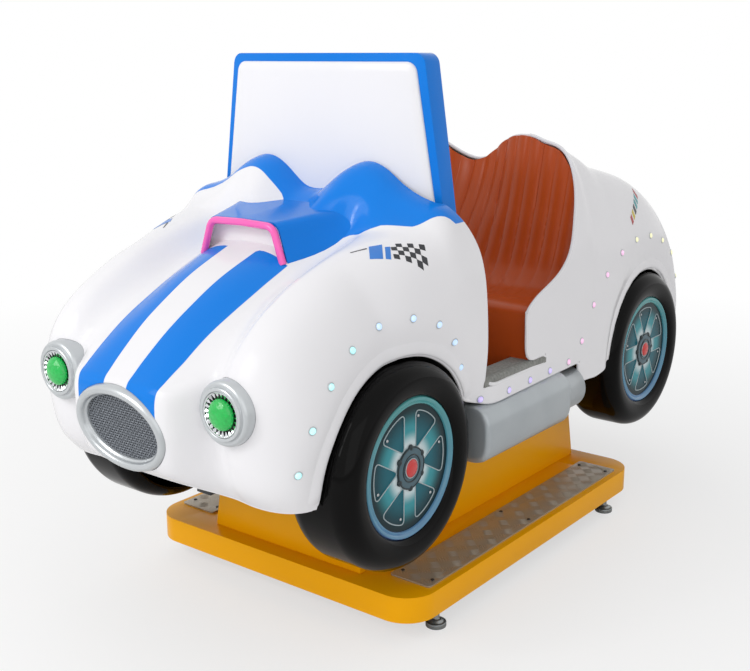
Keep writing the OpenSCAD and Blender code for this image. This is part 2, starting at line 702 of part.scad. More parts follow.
// Cross bearers under the floor, with a saddle at each end that the side pipe hangs from
module floor_bearers() {
    color(black) difference() {
        for (y = [door_front_y + 24, seat_front_y])
            block([-pipe_x, y - 18, chassis_top_z], [pipe_x, y + 18, floor_z - pan_t]);
        both_sides() rod_y(pipe_front_y, pipe_step_y, pipe_x, pipe_top_z - pipe_r, 2 * pipe_r + 2 * seat_gap);
    }
}
module pivot_shaft() {
    x = post_x + post_t + 6;
    color(silver) rod_x(-x, x, mid_y, axle_z, pivot_d);
}
module axle(y, x) { color(steel) rod_x(-x, x, y, axle_z, axle_d); }
module axle_front() { axle(front_axle_y, front_track_x - dish_depth - 1); }
module axle_rear() { axle(rear_axle_y, rear_track_x - dish_depth - 1); }

// One-piece body with wheel arches, door openings, lamp sockets and side lamp holes
module led_place(p) {
    h = side_hit(p[0], p[1]);
    n = h[1];
    translate(h[0]) rotate([0, acos(n[2]), atan2(n[1], n[0])]) children();
}
module screen_slot() {
    x = screen_foot_half_w + slot_side_gap;
    block([-x, screen_y - seat_gap, screen_foot_z - 20], [x, door_front_y + 20, screen_top_z]);
}
// A drum round a wheel's axis between two places along X
module wheel_drum(x0, x1, y, r) {
    hull() for (x = [x0, x1 - 1])
        translate([x, y, axle_z]) rotate([0, 90, 0]) cylinder(r = r, h = 1, $fn = 64);
}
module arch_cut(y) { wheel_drum(-side_reach - 2, side_reach + 2, y, arch_r); }
module lamp_socket() {
    hull() for (y = [pod_y - 60, pod_y + 80])
        translate([lamp_x, y, lamp_z]) rotate([90, 0, 0]) cylinder(d = bezel_d + 2 * seat_gap, h = 1);
}
module pipe_cut() {
    hull() for (y = [pipe_front_y - 2, pipe_rear_y + 2])
        translate([pipe_x - pipe_r - 8, y, edge_z - 100])
            cube([200, 0.5, pipe_top_z - edge_z + 100 + seat_gap]);
}
// The body as a solid, closed by a fan below its lower edge
module body_solid() {
    last = line_n * row_n;
    rim = concat(
        [for (i = [0 : line_n - 1]) i * row_n],
        [for (j = [1 : row_n - 1]) (line_n - 1) * row_n + j],
        [for (i = [line_n - 2 : -1 : 0]) i * row_n + row_n - 1],
        [for (j = [row_n - 2 : -1 : 1]) j]);
    polyhedron(concat([for (l = body_grid) each l], [[0, mid_y, edge_z]]), concat(
        [for (i = [0 : line_n - 2], j = [0 : row_n - 2]) each
            let (a = i * row_n + j, b = a + row_n) [[a, a + 1, b + 1], [a, b + 1, b]]],
        [for (k = [0 : len(rim) - 1]) [rim[k], rim[(k + 1) % len(rim)], last]]));
}
// The rim behind the seat bows back between the humps
module seat_rim_cut() {
    steps = 12;
    front = crest_y - 60;
    edge = [for (k = [steps : -1 : -steps]) let (x = seat_bow_w * k / steps) [x, crest_y - 3 + seat_bow(x)]];
    translate([0, 0, rim_cut_z]) linear_extrude(crest_z + hump_h - rim_cut_z)
        polygon(concat([[-seat_bow_w, front], [seat_bow_w, front]], edge));
}
// Wheel well behind each arch, trimmed to the body's outer skin
module wheel_wells(y) {
    intersection() {
        body_solid();
        both_sides() wheel_drum(liner_inner_x, side_reach, y, arch_r + liner_t);
    }
}
module body_shell() {
    points = concat(
        [for (l = body_grid) each l],
        [for (i = [0 : line_n - 1], j = [0 : row_n - 1]) inner_point(i, j)]);
    color(white) difference() {
        union() {
            polyhedron(points, sheet_faces(line_n, row_n));
            wheel_wells(front_axle_y);
            wheel_wells(rear_axle_y);
        }
        arch_cut(front_axle_y);
        arch_cut(rear_axle_y);
        through_sides(door_outline);
        seat_rim_cut();
        both_sides() { lamp_socket(); pipe_cut(); }
        grille_hole();
        screen_slot();
        both_sides() for (p = led_points) led_place(p) translate([0, 0, -15])
            cylinder(d = (led_d + 2 * led_hole_gap) / cos(180 / 8), h = 30, $fn = 8);
    }
}
module led_lamps() {
    color([0.75, 0.95, 1]) both_sides() for (p = led_points) led_place(p) {
        translate([0, 0, -wall - 4]) cylinder(d = led_d, h = wall + 4 + led_proud - 2, $fn = 16);
        translate([0, 0, led_proud - 2.01]) cylinder(d1 = led_d, d2 = led_d - 4, h = 2, $fn = 16);
    }
}
// Cockpit floor with an upturned flange under each sill pad
module floor_pan() {
    x = inside_x(door_front_y, floor_z) - pan_gap;
    color(black) {
        block([-x, dash_y - 4, floor_z - pan_t], [x, pan_rear_y, floor_z]);
        both_sides() block([x - 6, door_front_y + 6, floor_z - 1], [x, seat_front_y - 16, sill_z - seat_gap]);
    }
}
// Grey anti-slip pad that caps each sill
pad_w = 46;
pad_t = 15;
pad_outer_x = side_x(seat_front_y, sill_z) - 0.5;
module sill_pads() {
    x1 = pad_outer_x;
    color([0.5, 0.5, 0.5]) both_sides() along_y(door_front_y + 1, pad_end_y - 1) {
        translate([x1 - pad_w, sill_z + 0.1]) square([pad_w, pad_t - 6]);
        translate([x1 - pad_w + 6, sill_z + pad_t - 6]) square([pad_w - 16, 6]);
        translate([x1 - pad_w + 6, sill_z + pad_t - 6]) circle(6);
        translate([x1 - 9, sill_z + pad_t - 9]) intersection() {
            circle(9);
            translate([0, -6]) square([20, 20]);
        }
    }
}
// Silver side pipe in two steps under each sill
module side_pipes() {
    color(silver) both_sides() {
        difference() {
            rod_y(pipe_front_y, pipe_step_y, pipe_x, pipe_top_z - pipe_r, 2 * pipe_r);
            rod_y(pipe_front_y - 1, pipe_step_y - 12, pipe_x, pipe_top_z - pipe_r, 2 * pipe_r - 10);
        }
        difference() {
            rod_y(pipe_step_y - 0.1, pipe_rear_y, pipe_x, pipe_top_z - pipe_r, 2 * pipe_small_r);
            rod_y(pipe_step_y + 10, pipe_rear_y + 1, pipe_x, pipe_top_z - pipe_r, 2 * pipe_small_r - 12);
        }
    }
}

// Seat: a moulded sheet from the floor over the cushion and up the fluted back to the two humps
seat_rows = spline([
    [seat_front_y, floor_z], [seat_front_y + 2, floor_z + 50], [seat_front_y + 5, seat_z - 26],
    [seat_front_y + 16, seat_z - 6], [seat_front_y + 52, seat_z], [seat_front_y + 102, seat_z - 5],
    [seat_front_y + 148, seat_z + 2], [seat_front_y + 181, seat_z + 28], [seat_front_y + 201, seat_z + 70],
    [seat_front_y + 214, seat_z + 112], [seat_front_y + 224, seat_z + 146]], 1);
back_foot = seat_rows[len(seat_rows) - 1];
back_steps = 5;
back_lean = 0.24;
seat_half_n = 24;
seat_side_gap = 1.5;
seat_rim_gap = 4.5;
function seat_top_z(x) =
    let (
        y = crest_y - 6 + seat_bow(x),
        n = fullness(y),
        s = min(1, (abs(x) - crown_x) / (half_w(y) - crown_x))
    )
    (abs(x) <= crown_x ? hood_z(x, y) : edge_z + (crown_z(y) - edge_z) * pow(1 - pow(s, n), 1 / n))
    - wall - seat_rim_gap;
function flute_at(x, share) = share * flute_depth * cos(360 * flute_n * x / (2 * back_half_x));
back_half_x = inside_x(back_foot[0], back_foot[1]) - seat_rim_gap;
back_low_z = seat_z + 28;
function bow_share(z) = smooth((z - back_low_z) / (seat_top_z(0) - back_low_z));
function seat_point(k, j, back) =
    let (
        last = len(seat_rows) - 1,
        u = k / seat_half_n,
        low = j <= last,
        row = seat_rows[min(j, last)],
        x = u * (low ? inside_x(row[0], row[1]) - seat_side_gap : back_half_x),
        v = (j - last) / back_steps,
        z = low ? row[1] : mix(row[1], seat_top_z(x), v),
        y = (low ? row[0] : row[0] + (z - row[1]) * back_lean) + seat_bow(x) * bow_share(z),
        t = low ? unit(seat_rows[min(j + 1, last)] - seat_rows[max(j - 1, 0)]) : unit([back_lean, 1]),
        n = [-t[1], t[0]],
        d = flute_at(x, smooth((j - 6) / 2)) - back * seat_t
    ) [x, y + n[0] * d, z + n[1] * d];
module seat() {
    m = len(seat_rows) + back_steps;
    n = 2 * seat_half_n + 1;
    points = [for (b = [0, 1], k = [-seat_half_n : seat_half_n], j = [0 : m - 1]) seat_point(k, j, b)];
    color(brown) difference() {
        polyhedron(points, sheet_faces(n, m));
        block([-side_reach, -side_reach, 0], [side_reach, side_reach, floor_z]);
        both_sides() block([pad_outer_x - pad_w - seat_gap, seat_front_y - 20, 0],
            [side_reach, pad_end_y, sill_z + pad_t + seat_gap]);
    }
}
// Dash panel across the cockpit with the column boss and the coin door's hinge pin
dash_heights = [floor_z, 430, 480, 540, 600, 640, screen_foot_z];
hinge_x = coin_x - coin_w / 2 - coin_barrel_d / 2;
hinge_y = dash_y + dash_t + coin_barrel_d / 2 + seat_gap;
hinge_lug = 10;
dash_side_gap = 5;
coin_lip = 8;
module dash_panel() {
    edge = [for (z = dash_heights) [inside_x(dash_y, z) - dash_side_gap, z]];
    color(white) difference() {
        union() {
            along_y(dash_y, dash_y + dash_t)
                polygon(concat(edge, [for (k = [len(edge) - 1 : -1 : 0]) [-edge[k][0], edge[k][1]]]));
            on_column() translate([0, 0, -10]) cylinder(d = boss_d, h = boss_l + 10);
            for (e = [-1, 1]) let (z = coin_z + e * (coin_h / 2 + hinge_lug / 2)) {
                block([hinge_x - hinge_lug / 2, dash_y + dash_t - 1, z - 4],
                    [hinge_x + hinge_lug / 2, hinge_y + hinge_lug / 2, z + 4]);
            }
            translate([hinge_x, hinge_y, coin_z - coin_h / 2 - 6]) cylinder(d = coin_pin_d, h = coin_h + 12);
        }
        on_column() translate([0, 0, -60]) cylinder(d = column_d + 2 * run_gap, h = 200);
        block([coin_x - coin_w / 2 + coin_lip, dash_y - 5, coin_z - coin_h / 2 + coin_lip],
            [coin_x + coin_w / 2 - coin_lip, dash_y + dash_t + 0.5, coin_z + coin_h / 2 - coin_lip]);
        rod_y(dash_y - 5, dash_y + dash_t + 5, start_x, start_z, start_stem_d + 2 * fit_gap);
        block([-boss_d, dash_y - 60, column_z - 2 * boss_d], [boss_d, dash_y, column_z + boss_d]);
    }
}
// Coin door with its slot and barrel, and the coin return button in it
module coin_door() {
    y0 = dash_y + dash_t + seat_gap;
    y1 = y0 + coin_t;
    low_z = coin_z - coin_h / 2;
    color(silver) difference() {
        union() {
            block([hinge_x, y0, low_z], [coin_x + coin_w / 2, y1, low_z + coin_h]);
            translate([hinge_x, hinge_y, low_z]) cylinder(d = coin_barrel_d, h = coin_h);
            rod_y(y0, y0 + 9, coin_x + coin_w / 2 - 16, low_z + coin_h - 20, lock_d);
        }
        translate([hinge_x, hinge_y, low_z - 1]) cylinder(d = coin_pin_d + 2 * run_gap, h = coin_h + 2);
        block([coin_x - coin_slot_w / 2, y0 - 1, coin_z + 8],
            [coin_x + coin_slot_w / 2, y1 + 1, coin_z + 40]);
        block([coin_x - tray_w / 2, y0 - 1, low_z + 12], [coin_x + tray_w / 2, y1 + 1, low_z + 34]);
        rod_y(y0 - 1, y1 + 1, coin_x, return_z, return_stem_d + 2 * fit_gap);
    }
}
// Open-fronted cash box behind the coin door
cash_depth = 72;
cash_t = 2;
module cash_box() {
    x = coin_w / 2 - 2;
    z = coin_h / 2 - 2;
    color(steel) difference() {
        block([coin_x - x, dash_y - cash_depth, coin_z - z], [coin_x + x, dash_y, coin_z + z]);
        block([coin_x - x + cash_t, dash_y - cash_depth + cash_t, coin_z - z + cash_t],
            [coin_x + x - cash_t, dash_y + 1, coin_z + z - cash_t]);
    }
}
module coin_return_button() {
    y0 = dash_y + dash_t + seat_gap;
    color([0.8, 0.1, 0.1]) {
        rod_y(y0 - 4, y0 + coin_t + press_travel + 0.1, coin_x, return_z, return_stem_d);
        rod_y(y0 + coin_t + press_travel, y0 + coin_t + press_travel + 7, coin_x, return_z, return_d);
    }
}
module start_button() {
    y0 = dash_y + dash_t;
    color([0.1, 0.7, 0.3]) {
        rod_y(dash_y - 8, y0 + press_travel + 0.1, start_x, start_z, start_stem_d);
        rod_y(y0 + press_travel, y0 + press_travel + 9, start_x, start_z, start_d);
    }
}
// Steering wheel on its shaft, with three spokes and a seat for the horn button
hub_d = 70;
spoke_w = 22;
grip_r = steer_d / 2 - grip_d / 2;
module steering_wheel() {
    color(black) on_column() difference() {
        union() {
            translate([0, 0, -40]) cylinder(d = column_d, h = steer_reach + 40);
            translate([0, 0, boss_l + 1]) cylinder(d = 34, h = steer_reach - boss_l - 10);
            translate([0, 0, steer_reach - 14]) cylinder(d = hub_d, h = 22);
            translate([0, 0, steer_reach]) rotate_extrude() translate([grip_r, 0]) circle(d = grip_d);
            for (a = [90, 210, 330]) rotate([0, 0, a])
                block([20, -spoke_w / 2, steer_reach - 5], [grip_r, spoke_w / 2, steer_reach + 4]);
        }
        translate([0, 0, steer_reach - 8]) cylinder(d = horn_stem_d + 2 * fit_gap, h = 40);
    }
}
module horn_button() {
    color([0.8, 0.1, 0.1]) on_column() {
        translate([0, 0, steer_reach - 3]) cylinder(d = horn_stem_d, h = 14.1);
        translate([0, 0, steer_reach + 8 + press_travel]) cylinder(d = horn_d, h = 6);
        translate([0, 0, steer_reach + 13.9 + press_travel]) cylinder(d1 = horn_d, d2 = horn_d - 10, h = 4);
    }
}
// Windscreen: a bowed housing with a white front panel and a display at its back
module screen_outline(inset_top, inset_side, foot) {
    t = screen_top_half_w - inset_side;
    f = screen_foot_half_w - inset_side;
    r = 20;
    h = screen_top_z - inset_top;
    hull() {
        for (sx = [-1, 1]) {
            translate([sx * (t - r), h - r]) circle(r, $fn = 32);
            translate([sx * (f - 1), foot + 1]) circle(1, $fn = 16);
        }
    }
}
module screen_bow(front, back) {
    linear_extrude(1200) intersection() {
        translate([0, front + bow_r]) circle(bow_r, $fn = 192);
        translate([0, (front + back) / 2]) square([700, back - front], center = true);
    }
}
module windscreen_housing() {
    color(blue) intersection() {
        screen_bow(screen_y + panel_t, screen_back_y);
        along_y(-500, 0) screen_outline(0, 0, screen_foot_z);
    }
}
module windscreen_panel() {
    color(white) difference() {
        intersection() {
            screen_bow(screen_y, screen_back_y - 20);
            along_y(-500, 0) screen_outline(panel_inset, panel_inset, screen_foot_z + 8);
        }
        screen_bow(screen_y + panel_t - 0.01, screen_back_y + 5);
    }
}
display_w = 250;
display_h = 165;
display_z = 820;
module display_bezel() {
    color(black) translate([0, 0, display_z]) along_y(screen_back_y, screen_back_y + 9) difference() {
        square([display_w, display_h], center = true);
        square([display_w - 28, display_h - 28], center = true);
    }
}
module display_screen() {
    color([0.1, 0.12, 0.16]) translate([0, 0, display_z]) along_y(screen_back_y, screen_back_y + 6)
        square([display_w - 28 - 2 * seat_gap, display_h - 28 - 2 * seat_gap], center = true);
}
// Hood scoop: a sheet bent over the hood with a blind mouth, dying into the cowl
scoop_front_y = -455;
scoop_rear_y = -346;
scoop_top_z = 691;
scoop_rear_z = 704;
mouth_foot_x = 97;
mouth_top_x = 76;
rear_foot_x = 146;
rear_top_x = 114;
scoop_t = 5;
scoop_steps = 5;
function scoop_ring(y, k, inset) =
    let (
        s = k / scoop_steps,
        foot = mix(mouth_foot_x, rear_foot_x, s) - inset,
        top = mix(mouth_top_x, rear_top_x, s) - inset,
        zt = mix(scoop_top_z, scoop_rear_z, s) - inset,
        zf = min(hood_z(foot, y) + seat_gap, zt - 12),
        r = 12,
        half = [
            [foot, zf], [mix(foot, top, 0.8), mix(zf, zt, 0.8)],
            [top - r * 0.3, zt - r * 0.25], [top - r, zt]]
    ) concat([for (p = half) [-p[0], y, p[1]]], [for (k = [3 : -1 : 0]) [half[k][0], y, half[k][1]]]);
module scoop_sheet(y0, y1, outset, inset) {
    rings = [for (k = [0 : scoop_steps]) mix(y0, y1, k / scoop_steps)];
    share = abs(y1 - y0) / abs(scoop_rear_y - scoop_front_y);
    outer = [for (i = [0 : scoop_steps]) scoop_ring(rings[i], i * share, outset)];
    inner = [for (i = [0 : scoop_steps]) scoop_ring(rings[i], i * share, inset)];
    lines = len(outer[0]);
    points = concat([for (l = [0 : lines - 1], i = [0 : scoop_steps]) outer[i][l]],
        [for (l = [0 : lines - 1], i = [0 : scoop_steps]) inner[i][l]]);
    polyhedron(points, sheet_faces(lines, scoop_steps + 1));
}
// Blind wall a little way inside the scoop's mouth
mouth_depth = 16;
module scoop_wall() {
    y = scoop_front_y + mouth_depth;
    share = mouth_depth / (scoop_rear_y - scoop_front_y);
    along_y(y, y + scoop_t)
        polygon([for (p = scoop_ring(y, share * scoop_steps, scoop_t / 2)) [p[0], p[2]]]);
}
module hood_scoop() {
    color(blue) difference() {
        union() {
            scoop_sheet(scoop_front_y, scoop_rear_y, 0, scoop_t);
            scoop_wall();
        }
        translate([0, 0, seat_gap]) body_solid();
    }
}
// Pink trim that frames the scoop's mouth
trim_w = 12;
trim_depth = 9;
module scoop_frame() {
    color([1, 0.41, 0.75]) scoop_sheet(scoop_front_y - trim_depth, scoop_front_y - seat_gap, -1, trim_w);
}

// Oval grille in the nose
module oval(w, h, t) { linear_extrude(t) scale([1, h / w]) circle(d = w, $fn = 64); }
module on_grille() { translate([0, grille_y, grille_z]) rotate([90 + grille_tilt, 0, 0]) children(); }
module grille_hole() {
    on_grille() translate([0, 0, -80]) oval(grille_w + 2 * seat_gap, grille_h + 2 * seat_gap, 140);
}
module grille_ring() {
    color(silver) on_grille() difference() {
        union() {
            translate([0, 0, -ring_depth]) oval(grille_w, grille_h, ring_depth + ring_t - 5);
            oval(grille_w - 10, grille_h - 10, ring_t);
        }
        translate([0, 0, -ring_depth - 1]) oval(mesh_w, mesh_h, 100);
    }
}
// Mesh sheet behind the ring, with square holes
mesh_pitch = 9;
mesh_hole = 5;
module grille_mesh() {
    nx = floor((mesh_w / 2 - 6) / mesh_pitch);
    nz = floor((mesh_h / 2 - 6) / mesh_pitch);
    color([0.3, 0.3, 0.32]) on_grille() translate([0, 0, -8]) linear_extrude(2) difference() {
        scale([1, mesh_h / mesh_w]) circle(d = mesh_w - 0.8, $fn = 64);
        for (i = [-nx : nx], k = [-nz : nz])
            if (pow(i * mesh_pitch / (mesh_w / 2 - 8), 2) + pow(k * mesh_pitch / (mesh_h / 2 - 8), 2) < 1)
                translate([i * mesh_pitch, k * mesh_pitch]) square(mesh_hole, center = true);
    }
}
// Speaker behind the mesh, held in the ring's bore
speaker_d = 84;
speaker_depth = 38;
module speaker() {
    color(black) on_grille() translate([0, 0, -speaker_depth]) {
        linear_extrude(3) difference() {
            scale([1, mesh_h / mesh_w]) circle(d = mesh_w - 2 * seat_gap, $fn = 64);
            circle(d = speaker_d - 6);
        }
        r = speaker_d / 2;
        rotate_extrude() polygon([[0, -34], [r, 0], [r, 1], [r - 6, 1], [0, -28]]);
        translate([0, 0, -52]) cylinder(d = 46, h = 22);
    }
}
// Headlamps: stepped bezel, toothed chrome ring and green dome
lamp_ring_d = 68;
module at_lamp() { both_sides() translate([lamp_x, lamp_face_y, lamp_z]) rotate([90, 0, 0]) children(); }
module lamp_bezels() {
    depth = lamp_back_y - lamp_face_y;
    color(silver) at_lamp() difference() {
        union() {
            translate([0, 0, -depth]) cylinder(d = bezel_d, h = depth - 8);
            translate([0, 0, -8.1]) cylinder(d1 = bezel_d, d2 = bezel_d - 8, h = 4);
            translate([0, 0, -5]) cylinder(d = lamp_ring_d + 12, h = 6);
        }
        translate([0, 0, -14]) cylinder(d = lamp_ring_d + 0.6, h = 40);
        translate([0, 0, -depth - 1]) cylinder(d = bezel_d - 12, h = depth - 19);
    }
}
module lamp_rings() {
    teeth = 24;
    color([0.85, 0.86, 0.88]) at_lamp() translate([0, 0, -13.9]) difference() {
        cylinder(d = lamp_ring_d, h = 14);
        translate([0, 0, 4]) cylinder(d = lens_d + 1, h = 20);
        for (k = [0 : teeth - 1]) rotate([0, 0, 360 * k / teeth])
            translate([lens_d / 2 + 1, -1.8, 10]) cube([4, 3.6, 10]);
    }
}
module lamp_lenses() {
    rise = 12;
    dome_r = (pow(lens_d / 2, 2) + rise * rise) / (2 * rise);
    color([0.13, 0.87, 0.4]) at_lamp() translate([0, 0, -9.8]) {
        cylinder(d = lens_d, h = 8);
        translate([0, 0, 7.9]) intersection() {
            translate([0, 0, rise - dome_r]) sphere(dome_r);
            cylinder(d = lens_d, h = rise);
        }
    }
}
// Dummy wheels: a moulded tyre that is open behind, with a dished face for the hub disc
tyre_t = 9;
dish_floor_t = 8;
module wheel_frame(side, y, track_x) {
    translate([side * track_x, y, axle_z]) rotate([0, side * 90, 0]) children();
}
// A quarter of an ellipse as points, between two angles
function arc_points(c, rx, ry, a0, a1, n) = [
    for (k = [0 : n]) let (a = mix(a0, a1, k / n)) c + [rx * cos(a), ry * sin(a)]];
crest_r = (tyre_r + dish_r) / 2 - 2;
shoulder_w = 36;
module tyre_profile(w) {
    lip = 11;
    inner = concat(
        arc_points([crest_r, -shoulder_w], tyre_r - tyre_t - crest_r, shoulder_w - tyre_t, 90, 0, 6),
        [[tyre_r - tyre_t, -w + shoulder_w]],
        arc_points([crest_r, -w + shoulder_w], tyre_r - tyre_t - crest_r, shoulder_w, 0, -70, 6));
    outer = concat(
        arc_points([crest_r, -w + shoulder_w], tyre_r - crest_r, shoulder_w, -72, 0, 8),
        arc_points([crest_r, -shoulder_w], tyre_r - crest_r, shoulder_w, 0, 90, 10),
        arc_points([crest_r, -lip], crest_r - dish_r, lip, 90, 180, 6));
    back = -dish_depth - dish_floor_t;
    bore = axle_d / 2 + fit_gap;
    polygon(concat([[bore, back], [dish_r + tyre_t, back], [dish_r + tyre_t, -lip - tyre_t]],
        inner, outer, [[dish_r, -dish_depth], [bore, -dish_depth]]));
}
module tyre(side, y, track_x, w) {
    color(black) wheel_frame(side, y, track_x) rotate_extrude($fn = 96) tyre_profile(w);
}
module tyre_front_left() { tyre(1, front_axle_y, front_track_x, tyre_w); }
module tyre_front_right() { tyre(-1, front_axle_y, front_track_x, tyre_w); }
module tyre_rear_left() { tyre(1, rear_axle_y, rear_track_x, rear_tyre_w); }
module tyre_rear_right() { tyre(-1, rear_axle_y, rear_track_x, rear_tyre_w); }
module at_wheels() {
    for (side = [-1, 1]) {
        wheel_frame(side, front_axle_y, front_track_x) children();
        wheel_frame(side, rear_axle_y, rear_track_x) children();
    }
}
disc_thick = 4;
ring_light_w = 8;
module hub_discs() {
    color([0.12, 0.42, 0.47]) at_wheels() translate([0, 0, -dish_depth])
        cylinder(r = dish_r - seat_gap, h = disc_thick, $fn = 96);
}
module ring_lights() {
    color([0.56, 0.89, 0.88]) at_wheels() translate([0, 0, -dish_depth + disc_thick]) difference() {
        cylinder(r = dish_r - seat_gap, h = 6, $fn = 96);
        translate([0, 0, -1]) cylinder(r = dish_r - ring_light_w, h = 8, $fn = 96);
    }
}

base_cover();
pedestal();
base_rail_left();
base_rail_right();
base_cross_front();
base_cross_rear();
gear_bearer();
tread_plate_left();
tread_plate_right();
tread_screws();
levelling_feet();
foot_locknuts();
drive_motor();
gearbox();
pivot_post_left();
pivot_post_right();
control_box();
mains_inlet();
crank_disc();
crank_roller();
chassis_rail_left();
chassis_rail_right();
chassis_cross_front();
chassis_cross_rear();
floor_bearers();
pivot_shaft();
yoke_plate();
axle_front();
axle_rear();
body_shell();
floor_pan();
seat();
dash_panel();
windscreen_housing();
windscreen_panel();
display_bezel();
display_screen();
hood_scoop();
scoop_frame();
grille_ring();
grille_mesh();
lamp_bezels();
lamp_rings();
lamp_lenses();
tyre_front_left();
tyre_front_right();
tyre_rear_left();
tyre_rear_right();
hub_discs();
ring_lights();
sill_pads();
side_pipes();
led_lamps();
steering_wheel();
horn_button();
start_button();
coin_door();
coin_return_button();
speaker();
cash_box();
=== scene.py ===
import math
import bpy
import bmesh
from mathutils import Matrix, Vector
from mathutils.bvhtree import BVHTree


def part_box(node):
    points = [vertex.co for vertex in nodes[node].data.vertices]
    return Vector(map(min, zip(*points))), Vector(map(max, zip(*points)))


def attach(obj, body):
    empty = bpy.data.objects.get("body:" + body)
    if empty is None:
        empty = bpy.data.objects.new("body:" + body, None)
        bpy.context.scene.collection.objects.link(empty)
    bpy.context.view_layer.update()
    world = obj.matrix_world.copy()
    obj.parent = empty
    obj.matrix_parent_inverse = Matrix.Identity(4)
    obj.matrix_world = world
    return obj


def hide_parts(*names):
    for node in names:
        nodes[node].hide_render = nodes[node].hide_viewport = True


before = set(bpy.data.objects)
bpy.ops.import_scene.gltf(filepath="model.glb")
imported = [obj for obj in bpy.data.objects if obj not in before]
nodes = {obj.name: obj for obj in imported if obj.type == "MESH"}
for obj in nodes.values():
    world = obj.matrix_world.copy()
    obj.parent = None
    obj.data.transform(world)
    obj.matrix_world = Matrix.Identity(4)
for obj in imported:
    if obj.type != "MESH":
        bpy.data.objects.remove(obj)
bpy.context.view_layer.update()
MM = 0.001


# Numbers and paths
def mix(a, b, t):
    """A share of the way from one number to another."""
    return a + (b - a) * t


def smooth(t):
    """An eased share from 0 to 1."""
    t = max(0.0, min(1.0, t))
    return t * t * (3 - 2 * t)


def lookup(x, table):
    """Straight line between the points of a table that rises in x."""
    if x <= table[0][0]:
        return table[0][1]
    for (x0, y0), (x1, y1) in zip(table, table[1:]):
        if x <= x1:
            return mix(y0, y1, (x - x0) / (x1 - x0))
    return table[-1][1]


def spline_at(points, t):
    """A smooth curve through points, at a place counted in points."""
    last = len(points) - 1
    i = max(0, min(int(t), last - 1))
    t -= i
    a, b, c, d = (points[max(0, min(k, last))] for k in (i - 1, i, i + 1, i + 2))
    return [0.5 * (2 * q + (r - p) * t + (2 * p - 5 * q + 4 * r - s) * t * t
                   + (3 * q - p - 3 * r + s) * t ** 3) for p, q, r, s in zip(a, b, c, d)]


def spline(points, steps):
    """Points along a smooth curve, with the given steps between each two."""
    count = (len(points) - 1) * steps
    return [spline_at(points, k / steps) for k in range(count + 1)]


# Materials
def linear(code):
    """Linear colour of an sRGB hex code."""
    parts = [int(code[i:i + 2], 16) / 255 for i in (1, 3, 5)]
    return [c / 12.92 if c <= 0.04045 else ((c + 0.055) / 1.055) ** 2.4 for c in parts] + [1.0]


def fill(tree, node, sockets):
    """Fill a node's sockets with values or links."""
    for key, value in sockets.items():
        if isinstance(value, bpy.types.NodeSocket):
            tree.links.new(value, node.inputs[key])
        else:
            node.inputs[key].default_value = value
    return node


def add(tree, kind, sockets=None, **settings):
    """Add a node, set its properties, and fill its sockets with values or links."""
    node = tree.nodes.new(kind)
    for key, value in settings.items():
        setattr(node, key, value)
    return fill(tree, node, sockets or {})


def finish(name, colour, shade, patch, roughness, grain=6.0, depth=0.0, metallic=0.0, coat=0.0, spread=0.04,
           specular=0.5):
    """A surface whose colour drifts to a shade over patches, with a grain and its depth, all in mm."""
    mat = bpy.data.materials.new(name)
    mat.use_nodes = True
    tree = mat.node_tree
    where = add(tree, "ShaderNodeTexCoord").outputs["Object"]
    drift = add(tree, "ShaderNodeTexNoise", {"Vector": where, "Scale": 1000 / patch, "Detail": 4.0}).outputs["Fac"]
    tint = add(tree, "ShaderNodeMixRGB", {"Fac": drift, "Color1": linear(colour), "Color2": linear(shade)})
    gloss = add(tree, "ShaderNodeMapRange",
                {"Value": drift, "To Min": roughness - spread, "To Max": roughness + spread})
    shader = fill(tree, tree.nodes["Principled BSDF"], {
        "Base Color": tint.outputs["Color"], "Roughness": gloss.outputs["Result"], "Metallic": metallic,
        "Specular IOR Level": specular, "Coat Weight": coat, "Coat Roughness": 0.04})
    if depth:
        grit = add(tree, "ShaderNodeTexNoise", {"Vector": where, "Scale": 1000 / grain, "Detail": 2.0})
        bump = add(tree, "ShaderNodeBump", {"Height": grit.outputs["Fac"], "Distance": depth * MM})
        tree.links.new(bump.outputs["Normal"], shader.inputs["Normal"])
    return mat


def overlay(mat, share, colour):
    """Mix a colour over a finish's own colour."""
    tree = mat.node_tree
    base = tree.nodes["Principled BSDF"].inputs["Base Color"]
    both = add(tree, "ShaderNodeMixRGB", {"Fac": share, "Color1": base.links[0].from_socket, "Color2": colour})
    tree.links.new(both.outputs["Color"], base)


def lay_paint(mat, attribute, colour):
    """Lay a second colour over a finish where an attribute, the distance inside an edge in mm, is positive."""
    edge = add(mat.node_tree, "ShaderNodeAttribute", attribute_name=attribute).outputs["Fac"]
    mask = add(mat.node_tree, "ShaderNodeMapRange", {"Value": edge, "From Min": -0.5, "From Max": 0.5})
    overlay(mat, mask.outputs["Result"], linear(colour))


def use_colours(mat, attribute):
    """Take most of a finish's colour from the piece's own colour attribute."""
    overlay(mat, 0.85, add(mat.node_tree, "ShaderNodeAttribute", attribute_name=attribute).outputs["Color"])


def light_up(mat, colour, strength):
    """Let a lamp part glow."""
    tree = mat.node_tree
    fill(tree, tree.nodes["Principled BSDF"], {"Emission Color": linear(colour), "Emission Strength": strength})


def glow_by_height(mat, low, high, z0, z1, strength):
    """Let a lit ring change colour from its foot to its top."""
    tree = mat.node_tree
    place_z = add(tree, "ShaderNodeSeparateXYZ", {"Vector": add(tree, "ShaderNodeTexCoord").outputs["Object"]})
    share = add(tree, "ShaderNodeMapRange", {"Value": place_z.outputs["Z"], "From Min": z0, "From Max": z1})
    tint = add(tree, "ShaderNodeMixRGB",
               {"Fac": share.outputs["Result"], "Color1": linear(low), "Color2": linear(high)})
    fill(tree, tree.nodes["Principled BSDF"],
         {"Emission Color": tint.outputs["Color"], "Emission Strength": strength})


